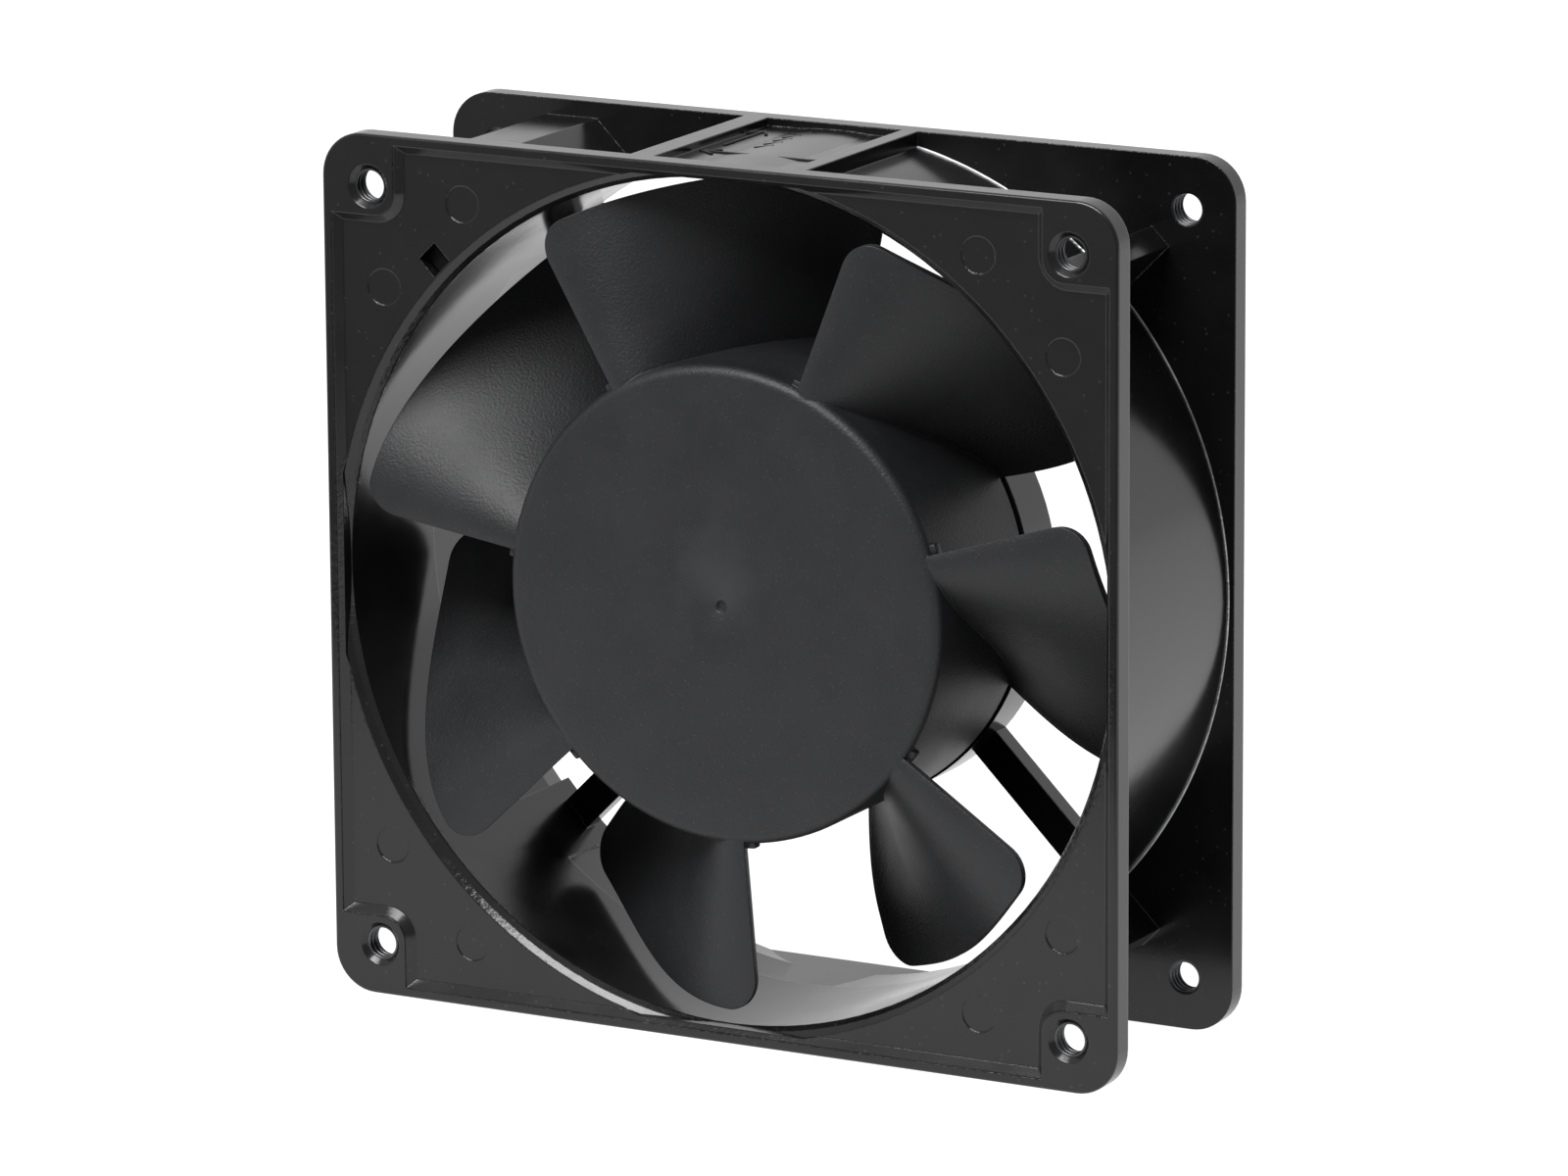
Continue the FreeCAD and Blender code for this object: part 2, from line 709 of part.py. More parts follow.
def stator_core():
    """Laminated steel core with four shaded poles."""
    front, rear = "core_front", "core_rear"
    blank = fuse("core_blank", *stator_outline_pieces("core", front, rear))
    tools = [disc("core_bore", "sleeve_radius", f"{front} - overrun", f"{rear} + overrun")]
    for i in range(POLES):
        between = POLE_STEP * (i + 0.5)
        tools.append(block(f"shoe_slot_{i}",
                           ("shoe_inner - overrun", f"{front} - overrun", "-shoe_gap / 2"),
                           ("core_radius + overrun", f"{rear} + overrun", "shoe_gap / 2"), between))
        low = "core_radius - shading_slot_depth"
        tools.append(block(f"shading_slot_{i}", (low, f"{front} - overrun", "-shading_bar / 2"),
                           ("core_radius + overrun", f"{rear} + overrun", "shading_bar / 2"),
                           POLE_STEP * i + SIZES["shading_angle"]))
    return keep(cut("core", blank, *tools), "stator_core")


def wedge(name, start, stop, front, rear):
    """Triangular prism from the axis between two angles, out to twice the core's radius."""
    corners = [("0", "0")]
    for angle in (start, stop):
        turn = math.radians(angle)
        corners.append((f"2 * core_radius * {math.cos(turn):.9f}",
                        f"2 * core_radius * {math.sin(turn):.9f}"))
    return prism(name, corners, front, rear)


def shading_rings():
    """Copper loop round one edge of each pole shoe: a curved bar with a window."""
    low = "core_radius - shading_slot_depth"
    high = f"{low} + shading_bar"
    front, rear = "core_front - shading_bar", "core_rear + shading_bar"
    slot, bar, tip = (SIZES[n] for n in ("shading_angle", "shading_bar_angle", "shading_tip_angle"))
    for i in range(POLES):
        pole = POLE_STEP * i
        ring = cut(f"shade_ring_{i}", disc(f"shade_outer_{i}", high, front, rear),
                   disc(f"shade_inner_{i}", low, f"{front} - overrun", f"{rear} + overrun"))
        sector = wedge(f"shade_sector_{i}", pole + slot - bar, pole + tip + 2 * bar, front, rear)
        window = wedge(f"shade_window_{i}", pole + slot + bar, pole + tip, "core_front", "core_rear")
        loop = cut(f"shade_{i}", common(f"shade_bar_{i}", ring, sector), window)
        keep(loop, f"shading_ring_{i + 1}")


def end_insulator(label, front, rear, wall_front, wall_rear):
    """Plastic end plate on the core, with flat walls that hold the coils in."""
    pieces = [disc(f"{label}_yoke", "yoke_radius", front, rear)]
    for i in range(POLES):
        pieces.append(block(f"{label}_arm_{i}", ("arm_start", front, "-pole_width / 2"),
                            ("insulator_wall_far", rear, "pole_width / 2"), POLE_STEP * i))
        pieces.append(block(f"{label}_wall_{i}",
                            ("insulator_wall_near", wall_front, "-insulator_wall_half"),
                            ("insulator_wall_far", wall_rear, "insulator_wall_half"),
                            POLE_STEP * i))
    bore = disc(f"{label}_bore", "sleeve_radius", f"{front} - overrun", f"{rear} + overrun")
    return keep(cut(f"{label}_plate", fuse(f"{label}_blank", *pieces), bore), label)


def coils():
    """Four wound coils, one on each pole."""
    half = "pole_width / 2 + coil_clearance"
    front = "core_front - insulator_thickness"
    rear = "core_rear + insulator_thickness"
    grow = "coil_thickness"
    for i in range(POLES):
        blank = doc.addObject("PartDesign::Body", f"coil_{i}")
        left, right = f"-( {half} + {grow} )", f"{half} + {grow}"
        low, high = f"{front} - {grow}", f"{rear} + {grow}"
        corners = [(right, high), (left, high), (left, low), (right, low)]
        sketch = outline_sketch(blank, "XY_Plane", corners, offset="coil_inner")
        pad = blank.newObject("PartDesign::Pad", f"coil_{i}_pad")
        pad.Profile = sketch
        bind(pad, Length="coil_outer - coil_inner")
        doc.recompute()
        rounded(blank, "coil_round", lambda edge: edge.BoundBox.ZLength > TOUCH, "corners")
        window = block(f"coil_window_{i}", (f"-( {half} )", front, "coil_inner - overrun"),
                       (half, rear, "coil_outer + overrun"))
        wound = cut(f"coil_wound_{i}", blank, window)
        wound.Placement = FreeCAD.Placement(Vector(), Rotation(Vector(0, -1, 0), POLE_STEP * i))
        keep(wound, f"coil_{i + 1}")


# ---------------------------------------------------------------- rotor

def rotor():
    """Steel cup, laminated ring, squirrel cage and the boss that holds the shaft."""
    keep(turned("cup", [
        ("cup_hole", "cup_front"),
        ("cup_outer", "cup_front"),
        ("cup_outer", "cup_rear"),
        ("cup_inner", "cup_rear"),
        ("cup_inner", "cup_front + cup_wall"),
        ("cup_hole", "cup_front + cup_wall"),
    ]), "rotor_cup")
    keep(turned("boss", [
        ("shaft_radius", "cup_front"),
        ("cup_hole", "cup_front"),
        ("cup_hole", "cup_front + cup_wall"),
        ("boss_radius", "cup_front + cup_wall"),
        ("boss_radius", "boss_rear"),
        ("shaft_radius", "boss_rear"),
    ]), "rotor_boss")
    front, rear = "rotor_core_front", "rotor_core_rear"
    blank = cut("ring_blank", disc("ring_outer", "rotor_core_outer", front, rear),
                disc("ring_bore", "rotor_core_inner", f"{front} - overrun", f"{rear} + overrun"))
    bars = cage_bars("ring_hole", f"{front} - overrun", f"{rear} + overrun")
    keep(cut("ring_core", blank, *bars), "rotor_core")
    pieces = cage_bars("cage_bar", front, rear)
    for end, start in (("front", f"{front} - cage_ring"), ("rear", rear)):
        stop = f"{start} + cage_ring"
        ring = disc(f"cage_outer_{end}", "cage_ring_outer", start, stop)
        hole = disc(f"cage_inner_{end}", "cage_ring_inner", f"{start} - overrun",
                    f"{stop} + overrun")
        pieces.append(cut(f"cage_ring_{end}", ring, hole))
    keep(fuse("cage", *pieces), "squirrel_cage")


def cage_bars(name, front, rear):
    """Round bars spaced about the rotor's axis."""
    bars = []
    count = SIZES["cage_bars"]
    for i in range(count):
        turn = math.radians(360 * i / count)
        x = f"cage_bar_place * {math.cos(turn):.9f}"
        z = f"cage_bar_place * {math.sin(turn):.9f}"
        bars.append(disc(f"{name}_{i}", "cage_bar_radius", front, rear, x, z))
    return bars


def camber(share):
    """Depth of the blade's middle line at a share of the way from leading to trailing edge."""
    rest = 1 - share
    depths = [number(n) for n in ("camber_lead", "camber_dip", "camber_rise", "camber_trail")]
    weights = [rest ** 3, 3 * rest ** 2 * share, 3 * rest * share ** 2, share ** 3]
    return sum(w * d for w, d in zip(weights, depths))


def blade_point(radius, share, side):
    """Point on one face of the first blade; side is +1 for the front face, -1 for the rear."""
    root, tip = number("hub_radius"), number("blade_tip")
    out = (radius - root) / (tip - root)
    grown = min(max(out * SIZES["span_growth"], SIZES["span_floor"]), 1.0)
    grown = 1 - (1 - grown) ** 2
    root_span, tip_span = number("blade_span_root"), number("blade_span")
    span = root_span + (tip_span - root_span) * grown
    thickness = number("blade_root_thickness") * (1 - out) + number("blade_tip_thickness") * out
    step = 0.001
    run = radius * math.radians(span) * 2 * step
    rise = camber(share + step) - camber(share - step)
    length = math.hypot(run, rise)
    angle = math.radians(number("blade_angle") - span * share)
    angle -= side * thickness / 2 * rise / length / radius
    depth = camber(share) - side * thickness / 2 * run / length
    return Vector(radius * math.cos(angle), depth, radius * math.sin(angle))


def blade_planform():
    """Outline of the first blade seen along the rotor's axis, pushed through its whole depth."""
    lead = number("blade_angle")
    trail = lead - number("blade_span")
    root_trail = lead - number("blade_span_root")
    tip, corner, root = number("blade_tip"), number("blade_corner"), number("blade_root")
    centre = tip - corner
    swing = math.degrees(math.asin(corner / centre))
    flat = math.sqrt(centre ** 2 - corner ** 2)
    front = -number("half_depth")

    def at(radius, angle):
        turn = math.radians(angle)
        return Vector(radius * math.cos(turn), front, radius * math.sin(turn))

    def corner_middle(angle, towards):
        middle = at(centre, angle)
        out = (at(flat, towards) - middle).normalize() + at(1, angle) - at(0, 0)
        return middle + out.normalize() * corner

    lead_start, lead_end = at(root, lead), at(flat, lead)
    tip_start, tip_end = at(tip, lead - swing), at(tip, trail + swing)
    trail_start, trail_end = at(flat, trail), at(root, root_trail)
    edges = [
        Part.LineSegment(lead_start, lead_end).toShape(),
        Part.Arc(lead_end, corner_middle(lead - swing, lead), tip_start).toShape(),
        Part.Arc(tip_start, at(tip, (lead + trail) / 2), tip_end).toShape(),
        Part.Arc(tip_end, corner_middle(trail + swing, trail), trail_start).toShape(),
        Part.Arc(trail_start, at((flat + root) / 2, trail + number("trail_bow")), trail_end).toShape(),
        Part.Arc(trail_end, at(root, (lead + root_trail) / 2), lead_start).toShape(),
    ]
    return Part.Face(Part.Wire(edges)).extrude(Vector(0, number("blade_rear") - front, 0))


def blade():
    """The first blade: two cambered faces closed by ruled edges and trimmed to the planform."""
    rows, columns, margin = 5, 10, 0.06
    inner, outer = number("blade_root - overrun"), number("blade_tip + 2 * overrun")
    radii = [inner + (outer - inner) * i / rows for i in range(rows + 1)]
    shares = [(1 + 2 * margin) * i / columns - margin for i in range(columns + 1)]
    faces = []
    for side in (1, -1):
        surface = Part.BSplineSurface()
        surface.interpolate([[blade_point(r, s, side) for s in shares] for r in radii])
        faces.append(surface.toShape())
    sides = [Part.makeRuledSurface(a, b) for a, b in zip(faces[0].Edges, faces[1].Edges)]
    shell = Part.makeShell(faces + sides)
    shell.sewShape()
    solid = Part.makeSolid(shell)
    if solid.Volume < 0:
        solid.reverse()
    return fixed_shape("blade_first", solid.common(blade_planform()))


def impeller():
    """Moulded hub shell and seven blades, one solid."""
    bulge = round(1 - math.cos(math.radians(45)), 3)
    shell = turned("hub", [
        ("0", "cup_front"),
        ("0", "hub_front"),
        ("hub_radius - hub_round", "hub_front"),
        (f"hub_radius - hub_round * {bulge}", f"hub_front + hub_round * {bulge}"),
        ("hub_radius", "hub_front + hub_round"),
        ("hub_radius", "hub_rear"),
        ("cup_outer", "hub_rear"),
        ("cup_outer", "cup_front"),
    ])
    dimple = disc("dimple", "dimple_radius", "hub_front - overrun", "hub_front + dimple_depth")
    first = blade()
    lead = number("blade_angle")
    pieces = [cut("hub_shell", shell, dimple)]
    for i in range(SIZES["blade_count"]):
        turn = 360 * i / SIZES["blade_count"]
        pieces.append(spun(first, f"blade_{i}", turn))
        pieces.append(block(f"root_step_{i}",
                            ("hub_radius - bite", "camber_lead - tab_lead", "-tab_back"),
                            ("hub_radius + tab_step", "camber_lead + tab_step_length",
                             "tab_step_width"), lead + turn))
    return keep(fuse("impeller_whole", *pieces), "impeller")


# ---------------------------------------------------------------- terminals, leads and label

def terminals():
    """Plastic terminal holder locked into the front flange, and its two spade tabs."""
    angle = DIAGONALS["left_upper"]
    half = "( lock_side / 2 - fit_gap )"
    lock = block("holder_lock", (f"lock_place - {half}", "-holder_depth - holder_lock", f"-{half}"),
                 (f"lock_place + {half}", "-holder_depth + overrun", half), angle)
    body = block("holder_block", ("holder_near", "-holder_depth", "-holder_half"),
                 ("holder_far", "holder_rear", "holder_half"), angle)
    tube = disc("holder_seat", "tube_radius + seat_gap", "-holder_depth - overrun",
                "holder_depth + overrun")
    tools = [tube]
    tabs = []
    for i, side in enumerate((1, -1)):
        centre = f"{side} * spade_place"
        low, high = f"{centre} - spade_thickness / 2", f"{centre} + spade_thickness / 2"
        near = ("spade_inner", "-spade_width / 2", low)
        far = ("spade_outer", "spade_width / 2", high)
        tools.append(block(f"spade_slot_{i}", near, far, angle))
        spade = prism(f"spade_{i}", [
            ("spade_inner", "-spade_width / 2"),
            ("spade_outer - spade_taper", "-spade_width / 2"),
            ("spade_outer", "-spade_width / 2 + spade_taper_side"),
            ("spade_outer", "spade_width / 2 - spade_taper_side"),
            ("spade_outer - spade_taper", "spade_width / 2"),
            ("spade_inner", "spade_width / 2"),
        ], f"-( {high} )", f"-( {low} )")
        upright = FreeCAD.Placement(Vector(), Rotation(Vector(1, 0, 0), 90))
        turn = FreeCAD.Placement(Vector(), Rotation(Vector(0, -1, 0), angle))
        spade.Placement = turn.multiply(upright)
        tabs.append(spade)
        tools.append(turned_hole(f"lead_hole_{i}", side, angle))
    keep(cut("holder", fuse("holder_whole", body, lock), *tools), "terminal_holder")
    for i, tab in enumerate(tabs):
        keep(tab, f"terminal_tab_{i + 1}")


def turned_hole(name, side, angle):
    """Hole in the holder that lets a lead reach its tab from the rear."""
    turn = math.radians(angle)
    out, across = number("lead_turn"), side * number("spade_place")
    x = out * math.cos(turn) - across * math.sin(turn)
    z = out * math.sin(turn) + across * math.cos(turn)
    return disc(name, "lead_radius + fit_gap", "spade_width / 2", "holder_depth + overrun",
                f"{x:.6f}", f"{z:.6f}")


def rounded_path(points, bend):
    """Wire of straight runs joined by tangent arcs."""
    edges = []
    start = points[0]
    for before, corner, after in zip(points, points[1:], points[2:]):
        into = (corner - before).normalize()
        out = (after - corner).normalize()
        turn = math.acos(max(-1.0, min(1.0, into.dot(out))))
        trim = bend * math.tan(turn / 2)
        enter, leave = corner - into * trim, corner + out * trim
        inward = (out - into).normalize()
        centre = corner + inward * (bend / math.cos(turn / 2))
        middle = centre - inward * bend
        edges.append(Part.LineSegment(start, enter).toShape())
        edges.append(Part.Arc(enter, middle, leave).toShape())
        start = leave
    edges.append(Part.LineSegment(start, points[-1]).toShape())
    return Part.Wire(edges)


def leads():
    """Two insulated leads from the coils, along the channel in one strut, to the tabs."""
    turn = math.radians(DIAGONALS["left_upper"])
    outward = Vector(math.cos(turn), 0, math.sin(turn))
    sideways = Vector(-math.sin(turn), 0, math.cos(turn))
    depth, bend, radius = number("lead_depth"), number("lead_bend"), number("lead_radius")
    for i, side in enumerate((1, -1)):
        near, far = side * number("lead_place"), side * number("spade_place")

        def at(out, across, y):
            return outward * out + sideways * across + Vector(0, y, 0)

        start = number("lead_start")
        path = rounded_path([
            at(start, near, number("lead_root")),
            at(start, near, depth),
            at(number("lead_knee"), near, depth),
            at(number("lead_turn"), far, depth),
            at(number("lead_turn"), far, number("spade_width") / 2),
        ], bend)
        first = path.Edges[0]
        ring = Part.Wire(Part.Circle(first.Vertexes[0].Point, Vector(0, 1, 0), radius).toShape())
        tube = path.makePipeShell([ring], True, False)
        keep(fixed_shape(f"lead_{i}", tube), f"lead_wire_{i + 1}")


def rear_label():
    """Blank foil label that covers the rear of the motor base."""
    front = "strut_rear - label_recess"
    rear = f"{front} + label_thickness"
    return keep(disc("label", "label_radius - label_gap", front, rear), "rear_label")


# ---------------------------------------------------------------- build, check and write

housing()
bearing_sleeve()
bearing("front", "front_bearing_front")
bearing("rear", "rear_bearing_front")
shaft()
shaft_hardware()
stator_core()
shading_rings()
end_insulator("front_end_insulator", "core_front - insulator_thickness", "core_front",
              "core_front - insulator_wall", "core_front")
end_insulator("rear_end_insulator", "core_rear", "core_rear + insulator_thickness",
              "core_rear", "core_rear + insulator_wall")
coils()
rotor()
doc.recompute()
impeller()
terminals()
leads()
rear_label()
doc.recompute()

for item in doc.Objects:
    if "Invalid" in item.State or "Error" in item.State:
        raise RuntimeError(f"{item.Name} failed: {item.State}")
for item in NODES:
    if item.Shape.isNull() or not item.Shape.isValid():
        raise RuntimeError(f"{item.Label} has no valid shape")

os.makedirs(OUT, exist_ok=True)
for item in NODES:
    item.Shape.exportStep(os.path.join(OUT, item.Label + ".step"))
    print(f"{item.Label}: {item.Shape.Volume:.1f} mm3, {len(item.Shape.Solids)} solid(s)")
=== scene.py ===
"""Square axial case fan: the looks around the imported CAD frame.

Units are metres, as the frame's are; MM turns a size in millimetres into one. The rotor's axis is
Y, the inlet side is -Y, the motor side +Y, and the fan stands on the lower edges of its flanges.
"""
import json
import logging
import math
from collections.abc import Sequence
from dataclasses import dataclass, replace
from enum import Enum

import bmesh
import bpy
from mathutils import Matrix, Vector


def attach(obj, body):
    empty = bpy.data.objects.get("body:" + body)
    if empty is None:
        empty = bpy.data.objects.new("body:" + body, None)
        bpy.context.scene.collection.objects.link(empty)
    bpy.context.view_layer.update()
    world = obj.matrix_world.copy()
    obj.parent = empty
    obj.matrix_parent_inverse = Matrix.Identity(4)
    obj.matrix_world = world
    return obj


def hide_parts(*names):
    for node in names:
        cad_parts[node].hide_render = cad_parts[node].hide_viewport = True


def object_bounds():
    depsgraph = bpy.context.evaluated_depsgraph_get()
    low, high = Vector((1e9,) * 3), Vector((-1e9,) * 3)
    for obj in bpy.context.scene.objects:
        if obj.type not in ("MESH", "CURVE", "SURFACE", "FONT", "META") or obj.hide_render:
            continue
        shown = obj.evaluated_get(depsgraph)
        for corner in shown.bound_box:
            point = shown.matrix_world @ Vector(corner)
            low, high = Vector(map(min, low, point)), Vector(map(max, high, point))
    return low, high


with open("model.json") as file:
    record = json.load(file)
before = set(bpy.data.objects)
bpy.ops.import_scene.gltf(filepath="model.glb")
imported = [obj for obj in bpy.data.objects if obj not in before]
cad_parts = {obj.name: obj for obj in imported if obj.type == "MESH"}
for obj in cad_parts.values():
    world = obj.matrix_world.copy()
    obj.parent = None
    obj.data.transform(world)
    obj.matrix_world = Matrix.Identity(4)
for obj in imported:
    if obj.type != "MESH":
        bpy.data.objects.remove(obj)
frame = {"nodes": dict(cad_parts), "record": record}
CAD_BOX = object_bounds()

LOG = logging.getLogger("case_fan")
MM = 0.001
# What every finish shares: bands of a 0 to 1 factor, and shares of the finish's own sizes.
NOISE_ROUGHNESS = 0.55
DRIFT_BAND = (0.35, 0.65)
ROUGHNESS_BAND = (0.3, 0.7)
FLECK_CELL = 2.2
FLECK_BAND = (0.05, 0.22)
# Soft border and reach of a painted highlight, as shares of its size.
HIGHLIGHT_BORDER = 0.6
HIGHLIGHT_REACH = 2.0
SWELL_SIZE = 5
SWELL_HEIGHT = 1.6
EDGE_BAND = (0.8, 0.995)
# Corners closer than this are one corner once an outline is spun.
WELD = 0.002 * MM
ROTOR_BODY = "rotor"
FRAME_BODY = "fan_frame"


class Corner(Enum):
    """Corner of the square flange, as signs of X and Z."""

    RIGHT_UPPER = (1, 1)
    LEFT_UPPER = (-1, 1)
    LEFT_LOWER = (-1, -1)
    RIGHT_LOWER = (1, -1)


class Grain(Enum):
    """How a surface was made, which sets the pattern of its bump."""

    CAST_PAINT = "cast_paint"
    SPARK_ERODED = "spark_eroded"
    TURNED = "turned"
    LAMINATED = "laminated"
    WOUND = "wound"
    MOULDED = "moulded"


# ------------------------------------------------------------------ colour and node helpers

def linear(code: str) -> tuple[float, float, float, float]:
    """Turn an sRGB hex colour into linear light.

    Args:
        code: Six hex digits after a hash sign.

    Returns:
        Red, green, blue and an alpha of one.
    """
    channels = []
    for start in (1, 3, 5):
        value = int(code[start:start + 2], 16) / 255
        channels.append(value / 12.92 if value <= 0.04045 else ((value + 0.055) / 1.055) ** 2.4)
    return (*channels, 1.0)


def add_node(
    tree: bpy.types.NodeTree,
    kind: str,
    settings: dict | None = None,
    **links: object,
) -> bpy.types.Node:
    """Add a node with its settings and the links or values of its inputs.

    Args:
        tree: Node tree that gets the node.
        kind: Node type name.
        settings: Attributes of the node.
        **links: Input name (underscores for spaces, "_0" style for a number) to a socket or value.

    Returns:
        The new node.
    """
    node = tree.nodes.new(kind)
    for name, value in (settings or {}).items():
        setattr(node, name, value)
    for name, value in links.items():
        key = int(name[1:]) if name[1:].isdigit() and name[0] == "i" else name.replace("_", " ")
        socket = node.inputs[key]
        if isinstance(value, bpy.types.NodeSocket):
            tree.links.new(value, socket)
        else:
            socket.default_value = value
    return node


def ramp(
    tree: bpy.types.NodeTree, source: bpy.types.NodeSocket, stops: Sequence[tuple[float, str]]
) -> bpy.types.NodeSocket:
    """Add a colour ramp between hex colours.

    Args:
        tree: Node tree that gets the node.
        source: Socket that picks the place on the ramp.
        stops: Places from 0 to 1 and their hex colours.

    Returns:
        The ramp's colour socket.
    """
    node = add_node(tree, "ShaderNodeValToRGB", Fac=source)
    elements = node.color_ramp.elements
    for index, (place, code) in enumerate(stops):
        element = elements[index] if index < 2 else elements.new(place)
        element.position = place
        element.color = linear(code)
    return node.outputs["Color"]


def spread(
    tree: bpy.types.NodeTree, source: bpy.types.NodeSocket, low: float, high: float,
    start: float = 0.0, stop: float = 1.0,
) -> bpy.types.NodeSocket:
    """Map a factor between start and stop to the span from low to high.

    Args:
        tree: Node tree that gets the node.
        source: Factor socket.
        low: Result at start.
        high: Result at stop.
        start: Factor that gives low.
        stop: Factor that gives high.

    Returns:
        The mapped socket.
    """
    node = add_node(tree, "ShaderNodeMapRange", Value=source, From_Min=start, From_Max=stop,
                    To_Min=low, To_Max=high)
    return node.outputs["Result"]


# ------------------------------------------------------------------ finishes

@dataclass(frozen=True)
class Finish:
    """A procedural surface finish.

    Sizes of patterns are in millimetres. The colour moves between two near shades over patches of
    the drift size, and the grain gives the bump that the process leaves.
    """

    name: str
    grain: Grain
    dark: str
    light: str
    roughness: float
    roughness_drift: float = 0.06
    metallic: float = 0.0
    ior: float = 1.5
    specular: float = 0.5
    drift_mm: float = 9.0
    grain_mm: float = 0.5
    grain_depth_mm: float = 0.02
    fleck: str | None = None
    fleck_share: float = 0.0
    coat: float = 0.0
    coat_roughness: float = 0.1
    edge_mm: float = 0.0
    edge_grain: float = 0.0
    pit_mm: float = 0.8
    lip_radii_mm: tuple[float, float] | None = None
    lip_depth_mm: float = 0.0
    lip_share: float = 0.2
    # A painted highlight: the colour of a paler patch, its middle and its size.
    painted_highlight: str | None = None
    painted_highlight_at_mm: tuple[float, float, float] = (0.0, 0.0, 0.0)
    painted_highlight_mm: float = 1.0

    def make(self) -> bpy.types.Material:
        """Build the material.

        Returns:
            The new material.
        """
        material = bpy.data.materials.new(self.name)
        material.use_nodes = True
        tree = material.node_tree
        tree.nodes.clear()
        place = add_node(tree, "ShaderNodeTexCoord").outputs["Object"]
        drift = self.noise(tree, place, self.drift_mm, detail=3.0)
        fine = self.noise(tree, place, self.grain_mm, detail=2.0)
        colour = ramp(tree, drift, ((DRIFT_BAND[0], self.dark), (DRIFT_BAND[1], self.light)))
        if self.fleck is not None:
            colour = self.flecked(tree, place, colour)
        # Paint a paler patch over the colour: a painted highlight.
        if self.painted_highlight is not None:
            colour = self.with_painted_highlight(tree, place, colour)
        low = self.roughness - self.roughness_drift
        high = self.roughness + self.roughness_drift
        shader = add_node(
            tree, "ShaderNodeBsdfPrincipled", Base_Color=colour,
            Roughness=spread(tree, drift, low, high, *ROUGHNESS_BAND),
            Metallic=self.metallic, Normal=self.bump(tree, place, fine),
            Coat_Weight=self.coat, Coat_Roughness=self.coat_roughness,
        )
        if self.metallic < 0.5:
            shader.inputs["IOR"].default_value = self.ior
            shader.inputs["Specular IOR Level"].default_value = self.specular
        add_node(tree, "ShaderNodeOutputMaterial", Surface=shader.outputs["BSDF"])
        return material

    def noise(
        self, tree: bpy.types.NodeTree, place: bpy.types.NodeSocket, size_mm: float, detail: float
    ) -> bpy.types.NodeSocket:
        """Add a noise whose features are about size_mm across.

        Args:
            tree: Node tree that gets the node.
            place: Coordinates in metres.
            size_mm: Feature size.
            detail: Octaves.

        Returns:
            The factor socket.
        """
        node = add_node(tree, "ShaderNodeTexNoise", Vector=place, Scale=1.0 / (size_mm * MM),
                        Detail=detail, Roughness=NOISE_ROUGHNESS)
        return node.outputs["Fac"]

    def flecked(
        self, tree: bpy.types.NodeTree, place: bpy.types.NodeSocket, colour: bpy.types.NodeSocket
    ) -> bpy.types.NodeSocket:
        """Scatter small pale flecks over a colour.

        Args:
            tree: Node tree that gets the nodes.
            place: Coordinates in metres.
            colour: Colour under the flecks.

        Returns:
            The flecked colour socket.
        """
        cells = add_node(tree, "ShaderNodeTexVoronoi", Vector=place,
                         Scale=1.0 / (FLECK_CELL * self.grain_mm * MM), Randomness=1.0)
        near = spread(tree, cells.outputs["Distance"], 1.0, 0.0, *FLECK_BAND)
        chosen = add_node(tree, "ShaderNodeSeparateColor", Color=cells.outputs["Color"])
        lit = add_node(tree, "ShaderNodeMath", {"operation": "LESS_THAN"},
                       i0=chosen.outputs["Red"], i1=self.fleck_share)
        share = add_node(tree, "ShaderNodeMath", {"operation": "MULTIPLY"},
                         i0=near, i1=lit.outputs["Value"])
        mix = add_node(tree, "ShaderNodeMix", {"data_type": "RGBA"}, i0=share.outputs["Value"],
                       i6=colour, i7=linear(self.fleck or self.light))
        return mix.outputs[2]

    def with_painted_highlight(
        self, tree: bpy.types.NodeTree, place: bpy.types.NodeSocket, colour: bpy.types.NodeSocket
    ) -> bpy.types.NodeSocket:
        """Paint one place paler, as a painted highlight, with a soft uneven border.

        Args:
            tree: Node tree that gets the nodes.
            place: Coordinates in metres.
            colour: Colour under the painted highlight.

        Returns:
            The colour socket with the painted highlight.
        """
        middle = Vector(self.painted_highlight_at_mm) * MM
        apart = add_node(tree, "ShaderNodeVectorMath", {"operation": "DISTANCE"},
                         i0=place, i1=middle)
        border = self.noise(tree, place, self.painted_highlight_mm * HIGHLIGHT_BORDER, detail=2.0)
        reach = add_node(tree, "ShaderNodeMath", {"operation": "MULTIPLY"},
                         i0=border, i1=HIGHLIGHT_REACH * self.painted_highlight_mm * MM)
        share = add_node(tree, "ShaderNodeMapRange", {"interpolation_type": "SMOOTHSTEP"},
                         Value=apart.outputs["Value"], From_Min=reach.outputs["Value"],
                         From_Max=0.0, To_Min=0.0, To_Max=1.0)
        mix = add_node(tree, "ShaderNodeMix", {"data_type": "RGBA"},
                       i0=share.outputs["Result"], i6=colour, i7=linear(self.painted_highlight or self.light))
        return mix.outputs[2]

